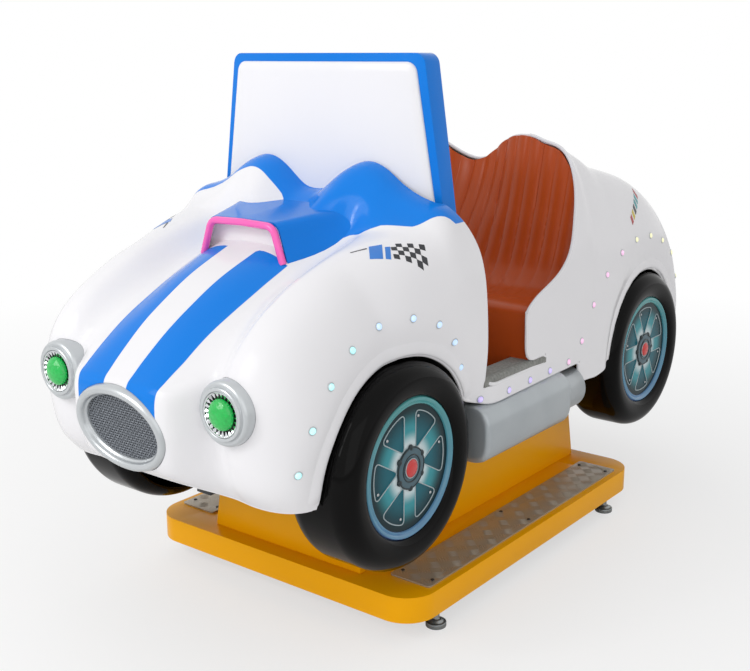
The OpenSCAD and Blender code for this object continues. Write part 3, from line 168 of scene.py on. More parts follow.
# Polished gelcoat: a deep gloss over a very slight orange peel
BODY_BLUE = "#127EE0"
gelcoat_white = finish("gelcoat_white_moulded", "#F1F0F2", "#EAE9EC", 220, 0.14, 9, 0.02, specular=0.16)
lay_paint(gelcoat_white, "blue_inside", BODY_BLUE)
gelcoat_plain = finish("gelcoat_plain_white_moulded", "#F1F0F2", "#EAE9EC", 220, 0.16, 9, 0.02, specular=0.3)
gelcoat_blue = finish("gelcoat_blue_moulded", BODY_BLUE, "#0E76D6", 160, 0.16, 9, 0.02, specular=0.15)
gelcoat_yellow = finish("gelcoat_yellow_moulded", "#FFB400", "#F9AE00", 180, 0.3, 8, 0.03, specular=0.15)
gelcoat_brown = finish("gelcoat_brown_moulded", "#C2521C", "#B2460F", 130, 0.3, 7, 0.03, specular=0.25)
gelcoat_black = finish("gelcoat_black_moulded", "#050505", "#0A0909", 90, 0.08, 8, 0.01, spread=0.03, specular=0.1)
# Raw glass laminate on hidden inner faces: matt, with a coarse fibre texture
laminate_raw = finish("glass_laminate_raw", "#C9CBC6", "#B4B6AE", 24, 0.62, 5, 0.35)
# Dull black in the wheel wells, which paints the shade inside the arches, with a pebbled skin
painted_shade_black = finish("painted_shade_black_sprayed", "#1A1A1A", "#232323", 30, 0.7, 3, 0.3)
# Sprayed enamels: an even gloss with a fine peel
enamel_pink = finish("enamel_pink_sprayed", "#FF69BE", "#F75BB2", 60, 0.26, 5, 0.02, coat=0.3)
enamel_silver = finish("enamel_silver_sprayed", "#CBCFD1", "#BCC0C3", 40, 0.3, 3, 0.02, metallic=0.55, coat=0.2)
pipe_silver = finish("enamel_pipe_silver_sprayed", "#B6BCBF", "#A3A9AD", 70, 0.3, 4, 0.03, metallic=0.45, coat=0.2)
enamel_black = finish("enamel_black_sprayed", "#1B1C1E", "#26272A", 50, 0.4, 4, 0.05)
enamel_grey = finish("enamel_frame_grey_sprayed", "#7C8184", "#6B7073", 45, 0.46, 4, 0.06)
enamel_motor = finish("enamel_motor_blue_sprayed", "#3C4A57", "#33404B", 35, 0.42, 3, 0.06)
# Metals: rolled, plated, turned and brushed
# The tread aluminium is warmed towards tan: painted reflection of the yellow cover over the metal's own grey
aluminium_with_painted_reflection = finish("aluminium_tread_with_painted_reflection", "#B9B0A2", "#ABA294", 28, 0.46, 2, 0.03, metallic=0.6)
zinc_plated = finish("steel_zinc_plated", "#9BA0A1", "#83888A", 14, 0.36, 2, 0.03, metallic=0.9)
steel_turned = finish("steel_turned_bright", "#BFC2C4", "#A7AAAD", 12, 0.26, 1.5, 0.02, metallic=1.0)
stainless_brushed = finish("stainless_brushed", "#C4C6C7", "#AEB1B3", 20, 0.33, 1.2, 0.02, metallic=1.0)
chrome_plated = finish("abs_chrome_plated", "#E4E6E8", "#D2D5D8", 20, 0.08, 6, 0.01, metallic=1.0, spread=0.03)
mesh_wire = finish("steel_mesh_woven", "#878C93", "#737880", 8, 0.45, 2, 0.02, metallic=0.3)
# Plastics: moulded with a slight satin texture
abs_black = finish("abs_black_moulded", "#17181A", "#202225", 30, 0.42, 1.5, 0.04)
abs_grey = finish("abs_grey_moulded", "#B5B6B2", "#A6A8A4", 40, 0.45, 1.5, 0.04)
abs_red = finish("abs_red_moulded", "#D8322F", "#C52A2A", 25, 0.22, 4, 0.01, coat=0.3)
abs_green = finish("abs_green_moulded", "#2FA65A", "#27944F", 25, 0.24, 4, 0.01, coat=0.3)
nylon_white = finish("nylon_moulded", "#DAD8CE", "#CBC9BE", 20, 0.4, 2, 0.03)
vinyl_black = finish("polyurethane_black_moulded", "#141414", "#202020", 22, 0.48, 1.6, 0.12)
# Grit tape: dull grey with dark grains, drawn at 3 mm so that they show
grit_grey = finish("grit_tape_grey", "#A3A49F", "#5E5F5B", 5, 0.72, 3, 0.5)
# Lamp plastics: clear green moulding, lit acrylic ring, glass over a dark display
acrylic_green = finish("acrylic_green_moulded", "#18C656", "#0B8E38", 5, 0.1, 4, 0.3, coat=0.4)
light_up(acrylic_green, "#14D458", 0.1)
acrylic_ring = finish("acrylic_ring_lit", "#2E6B70", "#3F8288", 30, 0.12, 4, 0.01, coat=0.3)
glow_by_height(acrylic_ring, "#8495F2", "#5CC2BC", 0.23, 0.42, 0.16)
display_glass = finish("display_glass_dark", "#0E1218", "#141A22", 120, 0.07, 6, 0.005, coat=0.5)
# Printed vinyl on the hub discs and the small stickers
hub_print = finish("vinyl_hub_printed", "#24707D", "#1B5864", 20, 0.22, 3, 0.02, specular=0.2)
use_colours(hub_print, "print_colour")
hub_line = finish("vinyl_outline_printed", "#B9C6C9", "#A6B4B8", 10, 0.3, 3, 0.01)
hub_grey = finish("abs_hub_grey_moulded", "#456470", "#3A5661", 12, 0.3, 2, 0.03)
hub_dark = finish("abs_hub_dark_moulded", "#12272C", "#0E1D21", 12, 0.3, 2, 0.03)
stickers = {name: finish("vinyl_" + name + "_printed", colour, shade, patch, roughness, 3, 0.01)
            for name, colour, shade, patch, roughness in (
                ("blue", "#3A86DC", "#2F74C6", 25, 0.3), ("black", "#232428", "#2E3036", 15, 0.34),
                ("red", "#B83A3A", "#A03030", 15, 0.34), ("yellow", "#D9C64A", "#C8B43C", 15, 0.34),
                ("teal", "#3FA3A8", "#358D93", 15, 0.34))}


# Meshes
def mesh_of(bm, name, *finishes):
    """Turn a bmesh into a mesh with its finishes."""
    mesh = bpy.data.meshes.new(name)
    bm.to_mesh(mesh)
    bm.free()
    for mat in finishes:
        mesh.materials.append(mat)
    return mesh


def show(name, data):
    """Put an object into the scene."""
    obj = bpy.data.objects.new(name, data)
    bpy.context.collection.objects.link(obj)
    return obj


def place(name, mesh, body, replaced=(), crease=35):
    """Put a mesh on a body as a piece, smooth but for its edges over the crease angle."""
    for face in mesh.polygons:
        face.use_smooth = True
    mesh.set_sharp_from_angle(angle=math.radians(crease))
    obj = show(name, mesh)
    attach(obj, body)
    if replaced:
        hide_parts(*replaced)
    return obj


def piece(name, bm, mat, body, replaced=(), crease=35):
    """Put a bmesh on a body as a piece of one finish."""
    return place(name, mesh_of(bm, name, mat), body, replaced, crease)


def lay(bm, matrix):
    """Move a bmesh to where a matrix says."""
    bmesh.ops.transform(bm, matrix=matrix, verts=bm.verts)
    return bm


def rotated(degrees, axis):
    """A turn round an axis."""
    return Matrix.Rotation(math.radians(degrees), 4, axis)


def join(bm, other):
    """Add another bmesh to a bmesh."""
    mesh = mesh_of(other, "joined")
    bm.from_mesh(mesh)
    bpy.data.meshes.remove(mesh)


def with_modifiers(bm, finishes, *modifiers):
    """The mesh that a bmesh becomes under modifiers, each a kind and its settings."""
    mesh = mesh_of(bm, "work", *finishes)
    obj = show("work", mesh)
    for kind, settings in modifiers:
        modifier = obj.modifiers.new(kind.lower(), kind)
        for key, value in settings.items():
            setattr(modifier, key, value)
    result = bpy.data.meshes.new_from_object(obj.evaluated_get(bpy.context.evaluated_depsgraph_get()))
    bpy.data.objects.remove(obj)
    bpy.data.meshes.remove(mesh)
    return result


def copy_of(node):
    """A merged copy of a CAD node, with its flat faces whole."""
    bm = bmesh.new()
    bm.from_mesh(nodes[node].data)
    bmesh.ops.remove_doubles(bm, verts=bm.verts, dist=1e-5)
    bmesh.ops.dissolve_limit(bm, angle_limit=math.radians(0.5), verts=bm.verts, edges=bm.edges)
    return bm


def round_edges(bm, radius, segments=3, sharp=32):
    """Round the edges of a bmesh that are sharper than an angle."""
    edges = [e for e in bm.edges if len(e.link_faces) == 2 and e.calc_face_angle() > math.radians(sharp)]
    bmesh.ops.bevel(bm, geom=edges, offset=radius, offset_type="OFFSET", affect="EDGES", segments=segments,
                    profile=0.5, material=-1, clamp_overlap=True)
    return bm


def sheet(across, along, point):
    """A grid of faces laid on a surface, a function of two shares from 0 to 1."""
    bm = bmesh.new()
    bmesh.ops.create_grid(bm, x_segments=across, y_segments=along, size=1)
    for v in bm.verts:
        v.co = point((v.co.x + 1) / 2, (v.co.y + 1) / 2)
    return bm


def facing(bm, direction):
    """Turn a sheet so that its faces look along a direction on the whole."""
    bm.normal_update()
    if sum((f.normal * f.calc_area() for f in bm.faces), Vector()).dot(Vector(direction)) < 0:
        bmesh.ops.reverse_faces(bm, faces=bm.faces)
    return bm


def turned(profile, turn, steps=96):
    """Spin a profile of radius and height pairs in mm round Z, and lay it where a matrix says."""
    bm = bmesh.new()
    verts = [bm.verts.new((r * MM, 0, h * MM)) for r, h in profile]
    edges = [bm.edges.new(pair) for pair in zip(verts, verts[1:])]
    bmesh.ops.spin(bm, geom=verts + edges, cent=(0, 0, 0), axis=(0, 0, 1), dvec=(0, 0, 0),
                   angle=2 * math.pi, steps=steps, use_merge=True)
    bmesh.ops.remove_doubles(bm, verts=bm.verts, dist=1e-7)
    bmesh.ops.recalc_face_normals(bm, faces=bm.faces)
    return lay(bm, turn)


def bead(points, radius, closed=True, resolution=2):
    """A round bead along a path."""
    curve = bpy.data.curves.new("bead", "CURVE")
    curve.dimensions = "3D"
    curve.bevel_depth = radius
    curve.bevel_resolution = resolution
    curve.use_fill_caps = True
    path = curve.splines.new("POLY")
    path.points.add(len(points) - 1)
    for p, q in zip(path.points, points):
        p.co = (*q, 1)
    path.use_cyclic_u = closed
    holder = bpy.data.objects.new("bead", curve)
    mesh = bpy.data.meshes.new_from_object(holder)
    bm = bmesh.new()
    bm.from_mesh(mesh)
    bpy.data.objects.remove(holder)
    bpy.data.curves.remove(curve)
    bpy.data.meshes.remove(mesh)
    return bm


def prism(outline, x0, x1):
    """An outline in the car's side view, in mm, pushed from one place across the car to another."""
    bm = bmesh.new()
    face = bm.faces.new([bm.verts.new((x0 * MM, y * MM, z * MM)) for y, z in outline])
    pushed = bmesh.ops.extrude_face_region(bm, geom=[face])["geom"]
    moved = [g for g in pushed if isinstance(g, bmesh.types.BMVert)]
    bmesh.ops.translate(bm, vec=((x1 - x0) * MM, 0, 0), verts=moved)
    bmesh.ops.recalc_face_normals(bm, faces=bm.faces)
    return bm


# Camera
def add_camera():
    """Camera fitted to the photograph's lines."""
    data = bpy.data.cameras.new("camera")
    data.sensor_fit = "HORIZONTAL"
    data.sensor_width = 36
    data.lens = 53.87
    camera = show("camera", data)
    yaw, pitch, roll = (math.radians(a) for a in (37.863, 14.139, -0.10))
    forward = Vector((-math.sin(yaw) * math.cos(pitch), math.cos(yaw) * math.cos(pitch), -math.sin(pitch)))
    turn = forward.to_track_quat("-Z", "Y").to_matrix().to_4x4()
    camera.matrix_world = Matrix.Translation((1.2826, -1.7563, 0.9529)) @ turn @ Matrix.Rotation(roll, 4, "Z")
    bpy.context.scene.camera = camera


# Body lines in mm, as in the solids
NOSE, POD, COWL, CREST, TAIL, MID = -738, -690, -285, 207, 749, 34
EDGE, COWL_Z, SHOULDER, CREST_Z, CROWN = 300, 722, 698, 748, 190
DOME, HUMP, VALLEY_IN, VALLEY_DOWN, FRONT_TUCK, REAR_TUCK, WALL = 54, 60, 14, 36, 24, 22, 6
FRONT_AXLE, REAR_AXLE, AXLE_Z, ARCH, FRONT_HALF, REAR_HALF = -416, 484, 322, 178, 325, 308
SILL, PAD_END, PAD_TOP, SEAT_FRONT, SEAT_Z, FLOOR, SCREEN = 405, -5, 421, -62, 514, 394, -270
HUMP_WIDE, DOME_IN, DOME_WIDE, TUCK_WIDE, BOW, BOW_HALF = 270, 20, 196, 63, 50, 150
FRONT_LINES = [
    (0.11, 0.06, 0.12, 0.00, 0, 0.4, 0), (0.04, 0.12, 0.05, 0.09, 0, 0.7, 0),
    (0.01, 0.23, 0.015, 0.22, 0, 1, 0), (0.00, 0.33, 0.00, 0.37, 0, 1, 0),
    (0.007, 0.42, 0.015, 0.505, 0, 1, 0.3), (0.044, 0.464, 0.064, 0.60, 0, 0.8, 0.6),
    (0.10, 0.516, 0.143, 0.68, 0, 0.5, 0.8), (0.194, 0.594, 0.247, 0.75, 0, 0.2, 0.9),
    (0.30, 0.665, 0.383, 0.82, 0, 0, 1), (0.43, 0.74, 0.543, 0.876, 0, 0, 1),
    (0.592, 0.808, 0.716, 0.923, 0, 0, 0.8), (0.746, 0.868, 0.82, 0.95, 0.02, 0, 0.4),
    (0.81, 0.898, 0.862, 0.965, 0.45, 0, 0.25), (0.87, 0.926, 0.91, 0.99, 0.9, 0, 0.1),
    (0.99, 1.00, 1.00, 1.055, 1, 0, 0)]
COCKPIT_LINES = [(-215, 722, 719, 1), (-90, 726, 715, 0.4), (60, 738, 738, 0.4), (165, 746, 752, 1)]
REAR_LINES = [
    (0.00, 1.00, 0.00, 1.00, 1), (0.09, 0.98, 0.09, 1.00, 0.54), (0.18, 0.96, 0.18, 0.99, 0.08),
    (0.30, 0.93, 0.30, 0.965, 0), (0.45, 0.865, 0.45, 0.92, 0), (0.60, 0.78, 0.60, 0.845, 0),
    (0.74, 0.665, 0.74, 0.735, 0), (0.86, 0.52, 0.855, 0.59, 0), (0.945, 0.36, 0.935, 0.41, 0),
    (1.00, 0.20, 0.985, 0.22, 0), (0.99, 0.07, 0.975, 0.07, 0), (0.96, 0.00, 0.945, 0.00, 0)]
FULLNESS = [(POD, 2.4), (-480, 2.4), (COWL, 4.6), (-90, 3), (CREST, 2.4), (330, 2.8), (TAIL, 2.6)]


def body_lines():
    """Rows of the body from nose to tail: centreline, crown, dome, hump and valley shares."""
    rows = [(mix(NOSE, COWL, r[0]), mix(EDGE, COWL_Z, r[1]), mix(POD, COWL, r[2]), mix(EDGE, SHOULDER, r[3]),
             r[4] * DOME, 0, r[5] * VALLEY_IN, r[6] * VALLEY_DOWN) for r in FRONT_LINES]
    rows += [(r[0], r[1], r[0], r[2], r[3] * DOME if r[0] < MID - 150 else 0,
              r[3] * HUMP if r[0] > MID else 0, 0, 0) for r in COCKPIT_LINES]
    rows += [(mix(CREST, TAIL, r[0]), mix(EDGE, CREST_Z, r[1]), mix(CREST, TAIL, r[2]),
              mix(EDGE, CREST_Z - 13, r[3]), 0, r[4] * HUMP, 0, 0) for r in REAR_LINES]
    return rows


def hump(x):
    """Share of the headrest hump at a distance from the centreline."""
    return math.sin(math.pi * min(abs(x), HUMP_WIDE) / HUMP_WIDE) ** 1.5


def dome(x):
    """Share of the cowl dome at a distance from the centreline."""
    return max(0.0, math.sin(math.pi * max(0, min(abs(x) - DOME_IN, DOME_WIDE)) / DOME_WIDE)) ** 1.3


def row_point(r, x):
    """Place and height of a row at a distance from the centreline, up to the crown."""
    s = min(abs(x), CROWN) / CROWN
    nose = r[6] / VALLEY_IN
    c = 1 - smooth((s - mix(0.36, 0.52, nose)) / mix(0.4, 0.28, nose))
    v = math.sin(math.pi * s ** mix(1.8, 2.6, nose)) ** 2
    return (mix(r[2], r[0], c) + v * r[6],
            mix(r[3], r[1], c) - v * r[7] + r[4] * dome(x) + r[5] * hump(x))


def side_point(r, a, sign):
    """The fender turns down from the crown in a quarter ellipse and tucks in at the wheel arches."""
    py, pz = row_point(r, CROWN)
    pz -= r[4] * dome(CROWN)
    ym = max(FRONT_AXLE, min(REAR_AXLE, py))
    n = lookup(py, FULLNESS)
    y = ym + (py - ym) * math.cos(a) ** 0.8
    z = EDGE + (pz - EDGE) * math.cos(a) ** (2 / n)
    half = mix(FRONT_HALF, REAR_HALF, smooth((y - FRONT_AXLE) / (REAR_AXLE - FRONT_AXLE)))
    tuck = sum(depth * smooth(1 - (math.hypot(y - axle, z - AXLE_Z) - ARCH) / TUCK_WIDE)
               for depth, axle in ((FRONT_TUCK, FRONT_AXLE), (REAR_TUCK, REAR_AXLE)))
    x = CROWN + (half - CROWN) * math.sin(a) ** (2 / n) - tuck * smooth(math.degrees(a) / 60)
    return Vector((sign * x, y, z + r[4] * dome(x))) * MM


def body_sheet():
    """The body's outer skin as one fine sheet."""
    rows = body_lines()

    def point(u, v):
        r = spline_at(rows, v * (len(rows) - 1))
        r[6] = max(0, r[6])
        u = (u - 0.5) * 4
        if abs(u) > 1:
            return side_point(r, math.radians(88) * (abs(u) - 1), math.copysign(1, u))
        y, z = row_point(r, CROWN * u)
        return Vector((CROWN * u, y, z)) * MM

    bm = sheet(100, 232, point)
    inner = [v for v in bm.verts if not v.is_boundary]
    for _ in range(4):
        bmesh.ops.smooth_vert(bm, verts=inner, factor=0.5, use_axis_x=True, use_axis_y=True, use_axis_z=True)
    bm.normal_update()
    return bm


skin_sheet = body_sheet()
skin = BVHTree.FromBMesh(skin_sheet)


def skin_x(y, z):
    """Half width of the skin at a place and height, in metres."""
    hit = skin.ray_cast(Vector((1, y, z)), Vector((-1, 0, 0)))[0]
    return hit.x if hit else 0.0


def skin_z(x, y):
    """Height of the skin at a place, in metres."""
    return skin.ray_cast(Vector((x, y, 2)), Vector((0, 0, -1)))[0].z


DOOR = ([(-214, SILL), (-214, 560)]
        + spline([(-214, 590), (-220, 635), (-236, 672), (SCREEN + 14, 705)], 4)
        + [(SCREEN + 14, 960)]
        + spline([(CREST + 23, 960), (CREST - 3, 830), (CREST - 10, 790), (CREST - 41, 700), (CREST - 64, 650),
                  (CREST - 95, 592), (CREST - 147, 556), (SEAT_FRONT + 32, 528), (SEAT_FRONT - 8, 508)], 4)
        + [(SEAT_FRONT - 12, 440), (SEAT_FRONT - 8, 427), (SEAT_FRONT + 4, PAD_TOP), (PAD_END, PAD_TOP),
           (PAD_END, SILL)])


def seat_bow(x):
    """How far the seat's rim bows back between the humps, in mm."""
    return BOW * (1 - smooth(abs(x) / BOW_HALF))


def circle(y, z, radius, steps=96):
    """Points of a circle in the car's side view, in mm."""
    return [(y + radius * math.cos(2 * math.pi * k / steps), z + radius * math.sin(2 * math.pi * k / steps))
            for k in range(steps)]


def grille_turn():
    """Where the grille lies: its axis points forward and slightly down."""
    return Matrix.Translation((0, -0.726, 0.408)) @ rotated(100, "X")


def lamp_turns():
    """Where the two headlamps lie."""
    return [Matrix.Translation((side * 0.186, -0.702, 0.458)) @ rotated(90, "X") for side in (-1, 1)]


def body_cutters():
    """Shapes that open the body: arches, doors, screen slot, pipes, lamps and grille."""
    cuts = [prism(DOOR, -400, 400), prism(circle(FRONT_AXLE, AXLE_Z, ARCH), -400, 400),
            prism(circle(REAR_AXLE, AXLE_Z, ARCH), -400, 400)]
    slot = [(SCREEN - 0.4, 640), (-194, 640), (-194, 960), (SCREEN - 0.4, 960)]
    cuts.append(prism(slot, -257, 257))
    rim = prism([(-BOW_HALF, CREST - 60), (BOW_HALF, CREST - 60)]
                + [(x, CREST - 3 + seat_bow(x)) for x in range(BOW_HALF, -BOW_HALF - 1, -10)], 690, 808)
    cuts.append(lay(rim, Matrix(((0, 1, 0, 0), (0, 0, 1, 0), (1, 0, 0, 0), (0, 0, 0, 1)))))
    pipe = [(-230.8, 200), (134, 200), (134, 375.4), (-230.8, 375.4)]
    cuts += [prism(pipe, -460, -228), prism(pipe, 228, 460)]
    cuts += [turned([(0, -90), (49.4, -90), (49.4, 60), (0, 60)], turn, 64) for turn in lamp_turns()]
    oval = turned([(0, -80), (99.4, -80), (99.4, 60), (0, 60)], Matrix.Diagonal((1, 70.4 / 99.4, 1, 1)), 96)
    return cuts + [lay(oval, grille_turn())]


# Places where the two hood stripes begin and end across the car, and where the blue cowl begins along it
STRIPE_IN = [(-740, 25), (-640, 30), (-450, 34)]
STRIPE_OUT = [(-740, 86), (-680, 93), (-540, 98), (-455, 98), (-357, 146)]
# The blue cowl begins further back on the -x side than on the +x side, so the front of the dome on the -x side stays
# white.
COWL_EDGE = [(-230, -303), (-170, -305), (-121, -309), (-71, -318), (-47, -319), (-33, -321), (-26, -330),
             (-18, -372), (120, -372), (147, -358), (167, -363), (182, -354), (201, -344), (222, -338),
             (250, -328), (270, -303), (290, -276)]
STRIPE_FOOT, STRIPE_END, COWL_FOOT, COWL_END, COWL_HALF, DOOR_TOP, DOOR_SIDE = 441, -457, 655, -170, 300, 688, 250


def blue_inside(co):
    """How far a point of the skin lies inside the blue paint, in mm."""
    x, y, z = co / MM
    stripe = min(abs(x) - lookup(y, STRIPE_IN), lookup(y, STRIPE_OUT) - abs(x), z - STRIPE_FOOT, STRIPE_END - y)
    cowl = min(y - lookup(x, COWL_EDGE), z - COWL_FOOT, COWL_END - y, COWL_HALF - abs(x))
    if abs(x) > DOOR_SIDE:
        cowl = min(cowl, z - DOOR_TOP)
    return max(stripe, cowl)


def mark_blue(mesh):
    """Store with each point of a mesh how far it lies inside the blue paint."""
    blue = mesh.attributes.new("blue_inside", "FLOAT", "POINT")
    blue.data.foreach_set("value", [blue_inside(v.co) for v in mesh.vertices])


# Rolled edges of the body's openings: inset from the skin, radius, step, and the least length of an opening's rim
RIM_INSET, RIM_RADIUS, RIM_STEP, RIM_LEAST = 0.0028, 0.0034, 0.008, 0.7


def rim_paths(mesh):
    """Closed paths along the edges where the painted skin meets a cut."""
    bm = bmesh.new()
    bm.from_mesh(mesh)
    near = {}
    for e in bm.edges:
        kinds = {f.material_index for f in e.link_faces}
        if kinds == {0, 1}:
            normal = next(f.normal for f in e.link_faces if f.material_index == 0)
            for a, b in (e.verts, reversed(e.verts)):
                near.setdefault(a.index, []).append((b.index, normal.copy()))
    bm.verts.ensure_lookup_table()
    paths, seen = [], set()
    for start in sorted(near):
        if start in seen:
            continue
        path, here = [], start
        while here is not None:
            seen.add(here)
            path.append(bm.verts[here].co - near[here][0][1] * RIM_INSET)
            here = next((k for k, _ in near[here] if k not in seen), None)
        paths.append(path)
    bm.free()
    return [p for p in paths if sum((a - b).length for a, b in zip(p, p[1:])) > RIM_LEAST]


def even(path, step):
    """A closed path with even steps, eased over its neighbours."""
    path = path + [path[0]]
    lengths = [0.0]
    for a, b in zip(path, path[1:]):
        lengths.append(lengths[-1] + (a - b).length)
    count = max(8, int(lengths[-1] / step))
    points, k = [], 0
    for i in range(count):
        s = lengths[-1] * i / count
        while lengths[k + 1] < s:
            k += 1
        points.append(path[k].lerp(path[k + 1], (s - lengths[k]) / max(1e-9, lengths[k + 1] - lengths[k])))
    for _ in range(2):
        points = [(points[i - 1] + points[i] * 2 + points[(i + 1) % count]) / 4 for i in range(count)]
    return points


def make_body():
    """Painted body shell with its openings and their rolled edges."""
    holders = []
    for bm in body_cutters():
        for face in bm.faces:
            face.material_index = 1
        holders.append(show("cutter", mesh_of(bm, "cutter", gelcoat_white, gelcoat_white)))
    wall = ("SOLIDIFY", {"thickness": WALL * MM, "offset": -1, "material_offset": 2, "material_offset_rim": 1})
    cuts = [("BOOLEAN", {"operation": "DIFFERENCE", "solver": "EXACT", "object": holder}) for holder in holders]
    finishes = (gelcoat_white, gelcoat_white, laminate_raw)
    mesh = with_modifiers(skin_sheet.copy(), finishes, wall, *cuts)
    for holder in holders:
        bpy.data.meshes.remove(holder.data)
    rims = bmesh.new()
    for path in rim_paths(mesh):
        join(rims, bead(even(path, RIM_STEP), RIM_RADIUS))
    mark_blue(mesh)
    mesh.name = "body_skin"
    place("body_skin", mesh, "car", ("body_shell",), 32)
    mark_blue(piece("body_rims", rims, gelcoat_white, "car", ()).data)


# Wheel arches: sides and axles, the height under which the skin ends, the wells' inner ends and thickness
ARCHES = [(side, axle) for side in (-1, 1) for axle in (FRONT_AXLE, REAR_AXLE)]
SKIN_FOOT, WELL_IN, WELL_WALL = 0.303, 0.186, 0.003


def arch_spot(axle, radius, start, share):
    """A point on a circle round an axle, from a start angle backwards, and the skin's half width there."""
    a = math.radians(mix(start, 186, share))
    y, z = (axle + radius * math.cos(a)) * MM, (AXLE_Z + radius * math.sin(a)) * MM
    return skin_x(y, max(z, SKIN_FOOT)), y, z


def make_wheel_wells():
    """Wheel wells behind the arches, from the skin inwards, in a dull black that paints the shade inside the arches."""
    wells = bmesh.new()
    for side, axle in ARCHES:
        def point(u, v, side=side, axle=axle):
            outer, y, z = arch_spot(axle, ARCH + 2, -6, u)
            return Vector((side * mix(WELL_IN, outer - WELL_WALL, v), y, z))
        well = sheet(64, 4, point)
        back = bmesh.ops.extrude_face_region(well, geom=well.faces[:])["geom"]
        for v in (g for g in back if isinstance(g, bmesh.types.BMVert)):
            v.co += WELL_WALL * Vector((0, v.co.y - axle * MM, v.co.z - AXLE_Z * MM)).normalized()
        bmesh.ops.recalc_face_normals(well, faces=well.faces)
        join(wells, well)
    # The wells' dull black is painted shade for the inside of the arches.
    piece("wheel_wells", wells, painted_shade_black, "car", ())


# Section of the moulded lip round a wheel arch: radius from the axle and height over the skin, in mm
ARCH_LIP = [(178.2, -4), (178.2, 1.6), (179.6, 3), (183, 3.6), (189, 3), (195, 1.4), (201, -0.8)]


def make_arch_lips():
    """Moulded lips round the wheel arches, which run out into the skin."""
    lips = bmesh.new()
    last = len(ARCH_LIP) - 1
    for side, axle in ARCHES:
        def point(u, v, side=side, axle=axle):
            radius, rise = ARCH_LIP[round(v * last)]
            rise = mix(min(rise, ARCH_LIP[-1][1]), rise, smooth(min(u, 1 - u) / 0.05))
            x, y, z = arch_spot(axle, radius, 20 if axle == FRONT_AXLE else -6, u)
            return Vector((side * (x + rise * MM), y, z))
        join(lips, facing(sheet(120, last, point), (side, 0, 0)))
    piece("arch_lips", lips, gelcoat_plain, "car", (), 60)


# Paint and stickers
# Stickers: lift over the skin and thickness in metres, and the first mark's place and the row's two directions
STICKER_LIFT, STICKER_THICK = 0.0006, 0.0003
FENDER_START, FENDER_ALONG, FENDER_DOWN = (206, -432), (0.64, 0.838), (0.95, -0.3)


def decal(bm, corners, side, above):
    """Lay a four-cornered patch on the skin, seen from above as x and y or from the side as y and z, in mm."""
    way = Vector((0, 0, -1)) if above else Vector((-side, 0, 0))

    def point(u, v):
        a, b = (mix(mix(corners[0][i], corners[1][i], u), mix(corners[3][i], corners[2][i], u), v) * MM
                for i in (0, 1))
        start = Vector((side * a, b, 2)) if above else Vector((side, a, b))
        return skin.ray_cast(start, way)[0] - way * STICKER_LIFT

    join(bm, facing(sheet(6, 6, point), -way))


def on_fender(*spots):
    """Places on the front fender as x and y, from distances along and down the row of marks."""
    lines = list(zip(FENDER_START, FENDER_ALONG, FENDER_DOWN))
    return [[start + a * along + d * down for start, a, d in lines] for along, down in spots]


def make_stickers():
    """Plain racing marks: a blue bar and a chequer on the front fenders, small coloured bars at the rear."""
    marks = {name: bmesh.new() for name in stickers}
    for side in (-1, 1):
        decal(marks["blue"], on_fender((10, 34), (30, 34), (46, 2), (26, 2)), side, True)
        decal(marks["blue"], on_fender((34, 34), (42, 34), (54, 10), (46, 10)), side, True)
        decal(marks["black"], on_fender((-6, 10), (20, 8), (21, 5), (-5, 8)), side, True)
        for row in range(4):
            for column in range(6):
                if (row + column) % 2:
                    left, top = 56 + 9 * column - 2 * row, 4 + 7 * row
                    spots = on_fender((left - 2, top + 7), (left + 7, top + 7), (left + 9, top), (left, top))
                    decal(marks["black"], spots, side, True)
        for k, name in enumerate(("red", "yellow", "black", "teal", "teal", "red")):
            y, z = 396 + 13 * k, 606 + 9 * k
            decal(marks[name], [(y, z), (y + 8, z + 6), (y + 3, z + 22), (y - 5, z + 16)], side, False)
    for name, bm in marks.items():
        bmesh.ops.solidify(bm, geom=bm.faces[:], thickness=STICKER_THICK)
        piece("sticker_" + name, bm, stickers[name], "car", ())


# Cockpit
SEAT_ROWS = [(SEAT_FRONT, FLOOR), (-60, 444), (-57, 488), (-46, 508), (-10, SEAT_Z), (40, 509), (86, 516), (119, 542),
             (139, 584), (152, 626), (162, 660)]
SEAT_GAP, SEAT_LEAN, SEAT_RIM, BACK_FROM, PAD_WIDE = 7.5, 0.24, CREST - 6, 542, 47
FLUTES, FLUTE_HIGH, FLUTE_SUNK, FLUTE_ROWS = 18, 4.4, 3, 4.2


